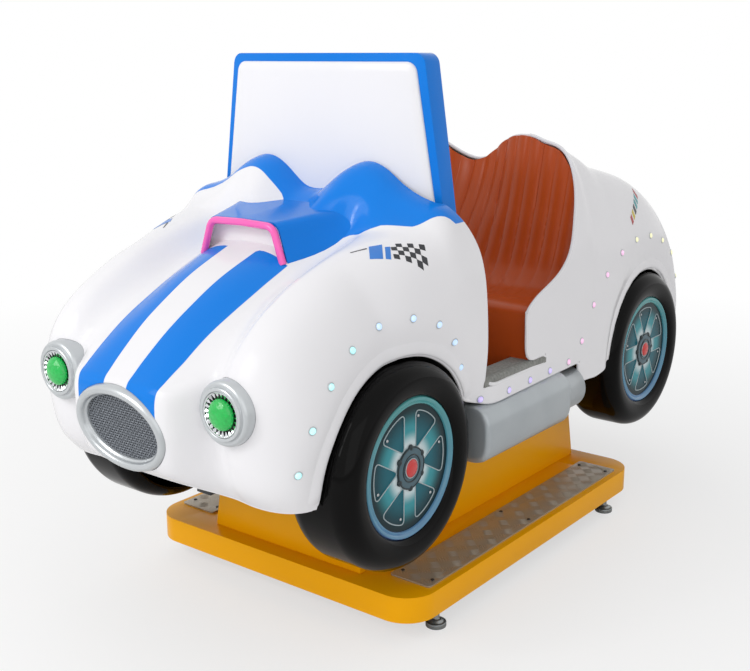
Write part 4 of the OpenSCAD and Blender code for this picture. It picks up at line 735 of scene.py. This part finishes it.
def make_seat():
    """Moulded seat: front panel, cushion and fluted back in one sheet."""
    last = len(SEAT_ROWS) - 1
    foot_y, foot_z = SEAT_ROWS[-1]
    back_half = skin_x(foot_y * MM, foot_z * MM) / MM - SEAT_GAP
    rows = [(y, z, skin_x(y * MM, z * MM) / MM - SEAT_GAP) for y, z in SEAT_ROWS[:-1]] + [(foot_y, foot_z, back_half)]
    pad = skin_x(SEAT_FRONT * MM, SILL * MM) / MM - PAD_WIDE
    middle = skin_z(0, (SEAT_RIM + seat_bow(0)) * MM) / MM

    def point(u, v):
        t = v * (last + 3)
        y, z, half = spline_at(rows, min(t, last))
        ya, za, _ = spline_at(rows, min(t, last) - 0.05)
        along = Vector((y - ya, z - za)).normalized()
        x = (2 * u - 1) * half
        if t > last:
            top = skin_z(x * MM, (SEAT_RIM + seat_bow(x)) * MM) / MM - 4
            z = mix(foot_z, top, (t - last) / 3)
            y = foot_y + (z - foot_z) * SEAT_LEAN
            along = Vector((SEAT_LEAN, 1)).normalized()
        rib = abs(math.sin(math.pi * FLUTES * (x / back_half + 1) / 2)) ** 0.6
        d = smooth((t - FLUTE_ROWS) / FLUTE_ROWS) * (FLUTE_HIGH * rib - FLUTE_SUNK)
        y += seat_bow(x) * smooth((z - BACK_FROM) / (middle - BACK_FROM))
        if abs(x) > pad and y < PAD_END:
            z = max(z, PAD_TOP)
        return Vector((x, y - along.y * d, z + along.x * d)) * MM

    bm = facing(sheet(240, 104, point), (0, -0.3, 1))
    mesh = with_modifiers(bm, (gelcoat_brown,), ("SOLIDIFY", {"thickness": 0.006, "offset": -1}))
    place("seat_moulding", mesh, "car", ("seat",), 50)


def screen_bow(x):
    """How far the bowed screen lies behind its middle, in metres."""
    half, rise = 0.256, 0.018
    radius = (half ** 2 + rise ** 2) / (2 * rise)
    return radius - math.sqrt(radius ** 2 - x * x)


def make_windscreen():
    """Blue housing with rolled edges, and a white front panel whose edges swell like a cushion's."""
    piece("screen_housing", round_edges(copy_of("windscreen_housing"), 0.009, 5), gelcoat_blue, "car",
          ("windscreen_housing",))
    corner, top, half_top, half_foot, foot, swell = 20, 939, 200, 242, 668, 6.6
    outline = [(half_foot, foot)] + [
        (half_top - corner + corner * math.cos(math.radians(a)), top - corner + corner * math.sin(math.radians(a)))
        for a in range(8, 91, 6)]
    outline += [(-x, z) for x, z in reversed(outline)]
    bm = bmesh.new()
    face = bm.faces.new([bm.verts.new((x * MM, (SCREEN + swell) * MM, z * MM)) for x, z in outline])
    if face.normal.y > 0:
        face.normal_flip()
    bm.normal_update()
    rim = bmesh.ops.extrude_edge_only(bm, edges=bm.edges[:])["geom"]
    bmesh.ops.translate(bm, vec=(0, 0.0013, 0), verts=[g for g in rim if isinstance(g, bmesh.types.BMVert)])
    reach, steps = 18, 6
    for k in range(steps):
        a, b = (math.sin(math.radians(90 * j / steps)) for j in (k, k + 1))
        wide = math.cos(math.radians(90 * k / steps)) - math.cos(math.radians(90 * (k + 1) / steps))
        bmesh.ops.inset_region(bm, faces=[face], thickness=reach * wide * MM, depth=swell * (b - a) * MM,
                               use_even_offset=True, use_boundary=True)
    for k in range(-23, 24):
        bmesh.ops.bisect_plane(bm, geom=bm.verts[:] + bm.edges[:] + bm.faces[:], plane_co=(k * 0.01, 0, 0),
                               plane_no=(1, 0, 0))
    for v in bm.verts:
        v.co.y += screen_bow(v.co.x)
    bmesh.ops.recalc_face_normals(bm, faces=bm.faces)
    piece("screen_panel", facing(bm, (0, -1, 0)), gelcoat_plain, "car", ("windscreen_panel",))


# Nose and hood
def bent(foot, corner, middle, radius, s):
    """A point on a path that bends round a corner, at a share of its way."""
    foot, corner, middle = Vector(foot), Vector(corner), Vector(middle)
    a = corner + (foot - corner).normalized() * radius
    b = corner + (middle - corner).normalized() * radius
    first, turn = (a - foot).length, 1.7 * radius
    whole = first + turn + (middle - b).length
    s *= whole
    if s < first:
        return foot.lerp(a, s / first)
    if s < first + turn:
        k = (s - first) / turn
        return a.lerp(corner, k).lerp(corner.lerp(b, k), k)
    return b.lerp(middle, (s - first - turn) / (whole - first - turn))


# Front and length of the hood scoop, in mm
SCOOP_FRONT, SCOOP_LONG = -455, 109


def scoop_point(u, y, inset, sink):
    """A point of the scoop's outline at a place along the car, from its right foot over the top to its left."""
    s = (y - SCOOP_FRONT) / SCOOP_LONG
    foot, top, height = mix(97, 146, s) - inset, mix(76, 114, s) - inset, mix(691, 704, s) - inset
    ground = min(skin_z(foot * MM, y * MM) / MM - sink, height - 10)
    side = 2 * u - 1
    x, z = bent((foot, ground), (top, height), (0, height + 2), 14, 1 - abs(side))
    return Vector((math.copysign(x, side), y, z)) * MM


def make_scoop():
    """Hood scoop that dies into the cowl, with a rounded pink frame round its mouth."""
    bm = facing(sheet(64, 18, lambda u, v: scoop_point(u, mix(SCOOP_FRONT, -326, v), 0, 4)), (0, 0, 1))
    mesh = with_modifiers(bm, (gelcoat_blue, gelcoat_plain),
                          ("SOLIDIFY", {"thickness": 0.005, "offset": -1, "material_offset": 1}))
    place("scoop_shell", mesh, "car", ("hood_scoop",), 40)
    wall = bmesh.new()
    bmesh.ops.contextual_create(wall, geom=[wall.verts.new(scoop_point(k / 48, SCOOP_FRONT + 16, 2.5, 4))
                                            for k in range(49)])
    bmesh.ops.solidify(facing(wall, (0, -1, 0)), geom=wall.faces[:], thickness=0.004)
    piece("scoop_wall", wall, gelcoat_plain, "car", ())
    path = [scoop_point(k / 72, SCOOP_FRONT - 4.4, 5.4, 3) for k in range(73)]
    piece("scoop_trim", bead(path, 0.0062, False, 4), enamel_pink, "car", ("scoop_frame",))


def make_grille():
    """Silver oval ring with an inner step, and a woven wire mesh in its bore."""
    profile = [(91, -44), (91, -1), (91.6, 0.6), (93.4, 1.6), (94.4, 3), (95, 6.2), (96.4, 8.6), (99, 10),
               (102, 10.2), (105, 9), (107.4, 6.4), (108.7, 3), (109, 0), (109, -44), (91, -44)]
    bm = turned(profile, Matrix.Identity(4), 128)
    wide, high, round_one = 0.09, 0.061, 0.1
    for v in bm.verts:
        a = math.atan2(v.co.y, v.co.x)
        across = Vector((math.cos(a) / wide, math.sin(a) / high)).normalized()
        d = math.hypot(v.co.x, v.co.y) - round_one
        v.co.x, v.co.y = wide * math.cos(a) + d * across.x, high * math.sin(a) + d * across.y
    piece("grille_surround", lay(bm, grille_turn()), enamel_silver, "car", ("grille_ring",), 50)
    weave, pitch, sunk, wave_high, wire = bmesh.new(), 4.5, 4, 0.8, 0.00085
    half_wide, half_high = 80.6, 51.6
    for half, other, swap in ((half_wide, half_high, False), (half_high, half_wide, True)):
        count = int(half / pitch)
        for i in range(-count, count + 1):
            reach = other * math.sqrt(1 - (i * pitch / half) ** 2)
            steps = max(2, int(2 * reach / (pitch / 2)))
            path = []
            for k in range(steps + 1):
                t = mix(-reach, reach, k / steps)
                z = wave_high * math.cos(math.pi * (t / pitch + i)) * (1 if swap else -1) - sunk
                path.append(Vector((t, i * pitch, z) if swap else (i * pitch, t, z)) * MM)
            join(weave, bead(path, wire, False, 1))
    piece("grille_weave", lay(weave, grille_turn()), mesh_wire, "car", ("grille_mesh",), 60)


def make_lamps():
    """Headlamps: stepped silver bezel, a chrome ring of teeth over a black floor that paints the shade in the recess,
    and a green dome.
    """
    bezels, rings, shade_floors, domes = (bmesh.new() for _ in range(4))
    for turn in lamp_turns():
        join(bezels, turned([(34.3, -14), (34.3, 0.1), (35.2, 1), (38.4, 1), (39.4, 0.2), (39.8, -2.6), (40.4, -3.6),
                             (43, -3.2), (45.6, -4), (47.6, -6), (48.7, -8.6), (49, -12), (49, -64), (43, -64),
                             (43, -19), (34.3, -19), (34.3, -14)], turn, 96))
        # A black floor in each lamp's recess paints the shade there.
        join(shade_floors, turned([(0, -14), (34, -14), (34, -10.4), (0, -10.4)], turn, 48))
        join(rings, turned([(31, -10.4), (34, -10.4), (34, -1), (33.4, 0), (32.4, 0), (31.6, -1), (31, -4),
                            (31, -10.4)], turn, 96))
        for k in range(24):
            lean = (turn @ rotated(15 * k, "Z") @ Matrix.Translation((0.0284, 0, -0.0034)) @ rotated(-98, "Y")
                    @ Matrix.Diagonal((0.6, 1, 1, 1)))
            bmesh.ops.create_cone(rings, cap_ends=True, segments=4, radius1=0.0041, radius2=0.0004, depth=0.0076,
                                  matrix=lean)
        ball = bmesh.new()
        bmesh.ops.create_icosphere(ball, subdivisions=3, radius=0.0238)
        for v in ball.verts:
            v.co.z *= 13 / 23.8 if v.co.z > 0 else 7.4 / 23.8
        join(domes, lay(ball, turn @ Matrix.Translation((0, 0, -0.003))))
    piece("lamp_housings", bezels, enamel_silver, "car", ("lamp_bezels",))
    piece("lamp_shade_floors", shade_floors, abs_black, "car", ())
    piece("lamp_teeth", rings, chrome_plated, "car", ("lamp_rings",), 25)
    piece("lamp_domes", domes, acrylic_green, "car", ("lamp_lenses",), 4)


# Wheels: node, side, place, track and width of the tyre in mm
WHEELS = [("tyre_front_left", 1, FRONT_AXLE, 322, 130), ("tyre_front_right", -1, FRONT_AXLE, 322, 130),
          ("tyre_rear_left", 1, REAR_AXLE, 299, 124), ("tyre_rear_right", -1, REAR_AXLE, 299, 124)]


def wheel_turn(side, y, track):
    """Where a wheel lies, its axis pointing outwards."""
    return Matrix.Translation((side * track * MM, y * MM, AXLE_Z * MM)) @ rotated(side * 90, "Y")


def arc(r, h, wide, high, start, end, steps):
    """Points of an ellipse from one angle to another, as radius and height pairs."""
    return [(r + wide * math.cos(math.radians(mix(start, end, k / steps))),
             h + high * math.sin(math.radians(mix(start, end, k / steps)))) for k in range(steps + 1)]


def make_tyres():
    """Glossy moulded tyres, round on their outer shoulder and open behind."""
    middle, round_high, outer, inner = 141, 36, 30, 21
    for node, side, y, track, width in WHEELS:
        rear = round_high - width
        profile = ([(13, -25), (124, -25), (124, -20)] + arc(middle, -round_high, inner, 27, 90, 0, 10)
                   + arc(middle, rear, inner, round_high, 0, -70, 10) + arc(middle, rear, outer, round_high, -72, 0, 14)
                   + arc(middle, -round_high, outer, round_high, 0, 90, 20) + arc(middle, -11, 26, 11, 90, 180, 10)
                   + [(115, -17), (13, -17), (13, -25)])
        bm = turned(profile, wheel_turn(side, y, track), 144)
        piece(node + "_moulding", bm, gelcoat_black, "car", (node,), 50)


# Hub disc: the windows' outer end and a point inside each, as radii in mm
WINDOW_END, WINDOW_MID = 92, 70


def window_depth(r, a):
    """How far a point of the hub disc lies inside one of its six rounded windows, in mm."""
    a = (a + math.pi / 6) % (math.pi / 3) - math.pi / 6
    half, apex, corner = math.radians(30), 30, 8
    side = (r * math.cos(a) - apex) * math.sin(half)
    edges = [side - r * math.sin(a) * math.cos(half), side + r * math.sin(a) * math.cos(half), WINDOW_END - r]
    return corner - math.sqrt(sum(max(corner - e, 0) ** 2 for e in edges))


def window_outline():
    """The edge of the window on the disc's first axis."""
    points, count = [], 90
    for k in range(count):
        t = 2 * math.pi * k / count
        near, far = 0.0, 60.0
        for _ in range(30):
            half = (near + far) / 2
            x, y = WINDOW_MID + half * math.cos(t), half * math.sin(t)
            inside = abs(math.atan2(y, x)) < math.pi / 6 and window_depth(math.hypot(x, y), math.atan2(y, x)) > 0
            near, far = (half, far) if inside else (near, half)
        points.append((WINDOW_MID + near * math.cos(t), near * math.sin(t)))
    return points


def hub_colour(r, a):
    """Print of the hub disc: pale spokes that darken outwards, teal windows, dark rim."""
    pale, teal, night = linear("#E6F1F3"), linear("#3C9AA3"), linear("#08181B")
    spoke = [mix(mix(p, q, smooth((r - 36) / 26)), d, smooth((r - 62) / 34)) for p, q, d in zip(pale, teal, night)]
    window = [mix(p, q, smooth((r - 52) / 44)) for p, q in zip(linear("#146270"), linear("#06222A"))]
    inside = smooth(window_depth(r, a) + 0.5)
    rim = smooth((r - WINDOW_END) / 5)
    return [mix(mix(s, w, inside), d, rim) for s, w, d in zip(spoke, window, linear("#04090B"))]


def ring_path(turn, radius, height):
    """A circle round a wheel's axis, in mm."""
    return [turn @ Vector((radius * MM * math.cos(t), radius * MM * math.sin(t), height * MM))
            for t in (2 * math.pi * k / 72 for k in range(72))]


def make_hubs():
    """Printed hub discs with sunk windows, their outlines, hub rings, red caps, screws and ring lights."""
    discs, lines, rings, knobs, caps, screws, lights = (bmesh.new() for _ in range(7))
    discs.verts.layers.float_color.new("print_colour")
    outline = window_outline()
    for _, side, y, track, _ in WHEELS:
        turn = wheel_turn(side, y, track) @ rotated(30 if y == FRONT_AXLE else 0, "Z")
        face = [(0, -17), (114.6, -17), (114.6, -13.4), (114, -13)] + [(114 - 2 * k, -13) for k in range(1, 57)]
        disc = turned(face + [(0, -13)], Matrix.Identity(4), 180)
        layer = disc.verts.layers.float_color.new("print_colour")
        for v in disc.verts:
            r, a = math.hypot(v.co.x, v.co.y) / MM, math.atan2(v.co.y, v.co.x)
            v[layer] = hub_colour(r, a)
            if v.co.z > -0.0133 and 30 < r < 100:
                v.co.z -= 0.0014 * smooth(window_depth(r, a) / 3)
        join(discs, lay(disc, turn))
        for k in range(6):
            spin = turn @ rotated(60 * k, "Z")
            join(lines, bead([spin @ Vector((x * MM, z * MM, -0.0129)) for x, z in outline], 0.0009))
            knob = spin @ rotated(30, "Z") @ Matrix.Translation((0.0335, 0, -0.0112)) @ Matrix.Diagonal((1, 1, 0.6, 1))
            bmesh.ops.create_uvsphere(knobs, u_segments=16, v_segments=8, radius=0.0054, matrix=knob)
        join(rings, turned([(16, -13), (34, -13), (34, -11), (33, -9.8), (31, -9.4), (24, -9), (20, -9.4), (16, -10.4),
                            (16, -13)], turn, 72))
        for radius, height, wide in ((33.6, -10.2, 1.4), (22, -9.2, 1.2)):
            join(knobs, bead(ring_path(turn, radius, height), wide * MM))
        join(lines, bead(ring_path(turn, 15.6, -9), 0.0009))
        join(caps, turned([(0, -13), (14.8, -13), (14.8, -9), (13.6, -7.2), (10, -5.6), (5, -4.9), (0, -4.7)],
                          turn, 64))
        for k in range(6):
            spot = turn @ rotated(14 + 60 * k, "Z") @ Matrix.Translation((0.083, 0, 0))
            join(screws, turned([(0, -14.6), (2.6, -14.6), (2.6, -13.2), (1.9, -12.4), (0, -12.2)], spot, 12))
        join(lights, turned([(103, -13), (103, -10.4), (103.7, -9.2), (104.8, -9), (105.8, -10), (106.6, -10.6),
                             (107.6, -9.6), (109, -7.8), (111, -7), (113, -7.4), (114.3, -9), (114.6, -11),
                             (114.6, -13), (103, -13)], turn, 128))
    piece("hub_faces", discs, hub_print, "car", ("hub_discs",), 50)
    piece("hub_outlines", lines, hub_line, "car", (), 60)
    piece("hub_rings", rings, hub_grey, "car", (), 40)
    piece("hub_knobs", knobs, hub_dark, "car", (), 40)
    piece("hub_caps", caps, abs_red, "car", (), 40)
    piece("hub_screws", screws, steel_turned, "car", (), 40)
    piece("hub_lights", lights, acrylic_ring, "car", ("ring_lights",), 40)


# Lamps along the sides
LED_COLOURS = {"cyan": "#9CF3F4", "sky": "#A9D4FF", "violet": "#B9A0F5", "pink": "#F7A8DE", "yellow": "#F4F0A6",
               "green": "#B8F5B0"}
LED_ORDER = ["cyan"] * 4 + ["sky"] * 5 + ["violet"] * 4 + ["pink"] * 5 + ["yellow"] * 5 + ["green"]


def led_places():
    """Places and directions of the small lamps on each side, from front to rear."""
    bm = copy_of("led_lamps")
    left, islands = set(bm.verts), []
    while left:
        group, todo = [], [left.pop()]
        while todo:
            v = todo.pop()
            group.append(v.co)
            for e in v.link_edges:
                other = e.other_vert(v)
                if other in left:
                    left.remove(other)
                    todo.append(other)
        islands.append(sum(group, Vector()) / len(group))
    bm.free()
    found = [skin.find_nearest(p)[:2] for p in islands]
    return [sorted((f for f in found if f[0].x * side > 0), key=lambda f: f[0].y) for side in (-1, 1)]


def make_leds():
    """Domed lamp caps in silver collars, in the order of their colours."""
    caps = {name: bmesh.new() for name in LED_COLOURS}
    collars = bmesh.new()
    for row in led_places():
        for (spot, normal), name in zip(row, LED_ORDER):
            turn = Matrix.Translation(spot) @ normal.to_track_quat("Z", "Y").to_matrix().to_4x4()
            join(caps[name], turned([(0, -2), (5.2, -2), (5.2, 1.6), (4.6, 2.9), (3, 3.7), (0, 4)], turn, 16))
            join(collars, turned([(5.3, -2), (7, -2), (7, 0.8), (6.4, 1.5), (5.7, 1.4), (5.3, 0.8)], turn, 16))
    for name, bm in caps.items():
        mat = finish("acrylic_led_" + name + "_lit", LED_COLOURS[name], "#F2F4F6", 9, 0.2, 2, 0.01, coat=0.3)
        light_up(mat, LED_COLOURS[name], 0.45)
        piece("led_" + name, bm, mat, "car", ("led_lamps",), 40)
    piece("led_collars", collars, enamel_silver, "car", ("led_lamps",), 40)


# Sills
def make_pipes():
    """Side pipes: a squarish silencer with a closed front, and a round tail with a rolled lip."""
    pipes, silencer_end, squareness = bmesh.new(), 0.0565, 3
    for side in (-1, 1):
        pipe = turned([(0, -230), (40, -230), (47, -229), (50.6, -226), (52, -221), (52, 50), (51.4, 53.4),
                       (49.4, 55.4), (46, 56.2), (42.6, 57.4), (42, 60), (42, 130.4), (41, 131.8), (37.4, 132),
                       (36, 130.6), (36, 66), (0, 66)], Matrix.Identity(4), 96)
        for v in pipe.verts:
            r = math.hypot(v.co.x, v.co.y)
            if r > 1e-6 and v.co.z < silencer_end:
                square = (abs(v.co.x / r) ** squareness + abs(v.co.y / r) ** squareness) ** (-1 / squareness)
                v.co.x, v.co.y = v.co.x * square, v.co.y * square
        join(pipes, lay(pipe, Matrix.Translation((side * 0.288, 0, 0.323)) @ rotated(-90, "X")))
    piece("pipe_mouldings", pipes, pipe_silver, "car", ("side_pipes",), 40)


# Plinth
def make_plinth():
    """Yellow cover with a rolled top edge."""
    bm = copy_of("base_cover")
    top, band, roll = max(v.co.z for v in bm.verts), 0.08, 0.011
    half_x, half_y = (max(v.co[i] for v in bm.verts) - band for i in (0, 1))
    outer = [e for e in bm.edges if len(e.link_faces) == 2 and e.calc_face_angle() > math.radians(40)
             and all(v.co.z > top - 1e-4 and (abs(v.co.x) > half_x or abs(v.co.y) > half_y) for v in e.verts)]
    bmesh.ops.bevel(bm, geom=outer, offset=roll, offset_type="OFFSET", affect="EDGES", segments=6, profile=0.5,
                    material=-1, clamp_overlap=True)
    piece("plinth_cover", round_edges(bm, 0.0015, 2, 50), gelcoat_yellow, "base", ("base_cover",))


def make_treads():
    """Chequer plates: groups of five short bars in turned directions on each plate."""
    for node in ("tread_plate_left", "tread_plate_right"):
        bm = round_edges(copy_of(node), 0.0006, 2, 50)
        lo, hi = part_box(node)
        across, along, pitch_x, pitch_y, gap = 3, 24, 28.6 * 0.97, 28.6, 0.0046
        bar = Matrix.Diagonal((0.0105, 0.0014, 0.0007, 1))
        for i in range(across):
            for j in range(along):
                x = (lo[0] + hi[0]) / 2 + (i - (across - 1) / 2) * pitch_x * MM
                y = (j - (along - 1) / 2) * pitch_y * MM
                for k in range(-2, 3):
                    spot = (Matrix.Translation((x, y, hi[2])) @ rotated(45 if (i + j) % 2 else -45, "Z")
                            @ Matrix.Translation((0, k * gap, 0)) @ bar)
                    bmesh.ops.create_uvsphere(bm, u_segments=8, v_segments=4, radius=1, matrix=spot)
        # The plates' tan tint is painted reflection of the yellow cover.
        piece(node + "_chequer", bm, aluminium_with_painted_reflection, "base", (node,), 50)


# Pieces whose solids need only rounded edges: body, finish, radius in mm, slot, nodes
ROUNDED = [
    ("base", gelcoat_yellow, 5, "plinth_yellow", "pedestal"),
    ("base", abs_black, 0.5, "zinc_steel", "tread_screws"),
    ("base", zinc_plated, 1.4, "zinc_steel", "levelling_feet"),
    ("base", zinc_plated, 0.8, "zinc_steel", "foot_locknuts"),
    ("base", abs_black, 1, "fitting_black", "mains_inlet"),
    ("base", abs_grey, 1.5, "box_grey", "control_box"),
    ("base", enamel_motor, 1.2, "motor_paint", "drive_motor"),
    ("base", enamel_grey, 1.5, "motor_paint", "gearbox"),
    ("base", enamel_grey, 1, "frame_steel", "pivot_post_left pivot_post_right gear_bearer"),
    ("base", enamel_grey, 2, "frame_steel", "base_rail_left base_rail_right base_cross_front base_cross_rear"),
    ("crank", steel_turned, 1, "bright_steel", "crank_disc"),
    ("crank", nylon_white, 1, "roller_nylon", "crank_roller"),
    ("car", enamel_black, 1.5, "chassis_black",
     "chassis_rail_left chassis_rail_right chassis_cross_front chassis_cross_rear floor_bearers"),
    ("car", steel_turned, 0.8, "bright_steel", "yoke_plate"),
    ("car", steel_turned, 1, "bright_steel", "pivot_shaft axle_front axle_rear"),
    ("car", vinyl_black, 0.8, "floor_black", "floor_pan"),
    ("car", gelcoat_plain, 1.2, "gelcoat_white", "dash_panel"),
    ("car", abs_black, 1.6, "fitting_black", "display_bezel"),
    ("car", display_glass, 0.6, "display_glass", "display_screen"),
    ("car", abs_black, 0.8, "fitting_black", "speaker"),
    ("car", grit_grey, 1.5, "pad_grey", "sill_pads"),
    ("car", zinc_plated, 0.6, "zinc_steel", "cash_box"),
    ("steering", vinyl_black, 2, "wheel_black", "steering_wheel"),
    ("horn", abs_red, 1, "button_red", "horn_button"),
    ("start", abs_green, 1.6, "button_green", "start_button"),
    ("coin_flap", stainless_brushed, 0.8, "coin_steel", "coin_door"),
    ("coin_return", abs_red, 1.2, "button_red", "coin_return_button"),
]


def make_rounded():
    """Remake each listed node with its edges rounded."""
    for body, mat, radius, slot, names in ROUNDED:
        for node in names.split():
            piece(node + "_soft", round_edges(copy_of(node), radius * MM), mat, body, (node,))


# Light and floor
def light_scene():
    """Soft studio light: pale surroundings, a key from the front right of the car, a weak fill and a small glint."""
    bpy.context.scene.view_settings.view_transform = "Standard"
    world = bpy.data.worlds.new("studio")
    bpy.context.scene.world = world
    world.use_nodes = True
    tree = world.node_tree
    tree.nodes.clear()
    path = add(tree, "ShaderNodeLightPath").outputs
    seen = add(tree, "ShaderNodeMath", {0: path["Is Camera Ray"], 1: path["Is Transmission Ray"]}, operation="MAXIMUM")
    seen = add(tree, "ShaderNodeMath", {0: seen.outputs[0], 1: path["Is Glossy Ray"]}, operation="MAXIMUM")
    soft = add(tree, "ShaderNodeBackground", {"Color": (1, 1, 1, 1), "Strength": 0.67})
    pale = add(tree, "ShaderNodeBackground", {"Color": (1, 1, 1, 1), "Strength": 1.0})
    both = add(tree, "ShaderNodeMixShader", {0: seen.outputs[0], 1: soft.outputs[0], 2: pale.outputs[0]})
    add(tree, "ShaderNodeOutputWorld", {"Surface": both.outputs[0]})
    for name, spot, size, power in (("key", (-0.9, -3.3, 2.5), 2.2, 44), ("fill", (2.4, -2.2, 1.5), 2.4, 9),
                                    ("glint", (-0.8, -2.6, 2.3), 0.3, 7)):
        data = bpy.data.lights.new(name, "AREA")
        data.size = size
        data.energy = power
        lamp = show(name, data)
        aim = Vector((0, 0, 0.45)) - Vector(spot)
        lamp.matrix_world = Matrix.Translation(spot) @ aim.to_track_quat("-Z", "Y").to_matrix().to_4x4()


def add_floor():
    """Pale floor that keeps the shadow and fades into the background."""
    bm = bmesh.new()
    bmesh.ops.create_circle(bm, cap_ends=True, segments=96, radius=14)
    mat = bpy.data.materials.new("studio_floor_painted")
    mat.use_nodes = True
    tree = mat.node_tree
    shader = fill(tree, tree.nodes["Principled BSDF"], {"Base Color": linear("#F4F4F4"), "Roughness": 0.7})
    place_xy = add(tree, "ShaderNodeTexCoord").outputs["Object"]
    far = add(tree, "ShaderNodeVectorMath", {0: place_xy}, operation="LENGTH")
    share = add(tree, "ShaderNodeMapRange",
                {"Value": far.outputs["Value"], "From Min": 0.7, "From Max": 2.6, "To Min": 0.6, "To Max": 1.0})
    white = add(tree, "ShaderNodeEmission", {"Color": (1, 1, 1, 1), "Strength": 1.0})
    camera_ray = add(tree, "ShaderNodeLightPath").outputs["Is Camera Ray"]
    seen = add(tree, "ShaderNodeMath", {0: share.outputs["Result"], 1: camera_ray}, operation="MULTIPLY")
    both = add(tree, "ShaderNodeMixShader", {0: seen.outputs[0], 1: shader.outputs[0], 2: white.outputs[0]})
    tree.links.new(both.outputs[0], tree.nodes["Material Output"].inputs["Surface"])
    floor = show("floor", mesh_of(bm, "floor", mat))


add_camera()
light_scene()
add_floor()
make_body()
make_wheel_wells()
make_arch_lips()
make_stickers()
make_seat()
make_windscreen()
make_scoop()
make_grille()
make_lamps()
make_tyres()
make_hubs()
make_leds()
make_pipes()
make_plinth()
make_treads()
make_rounded()
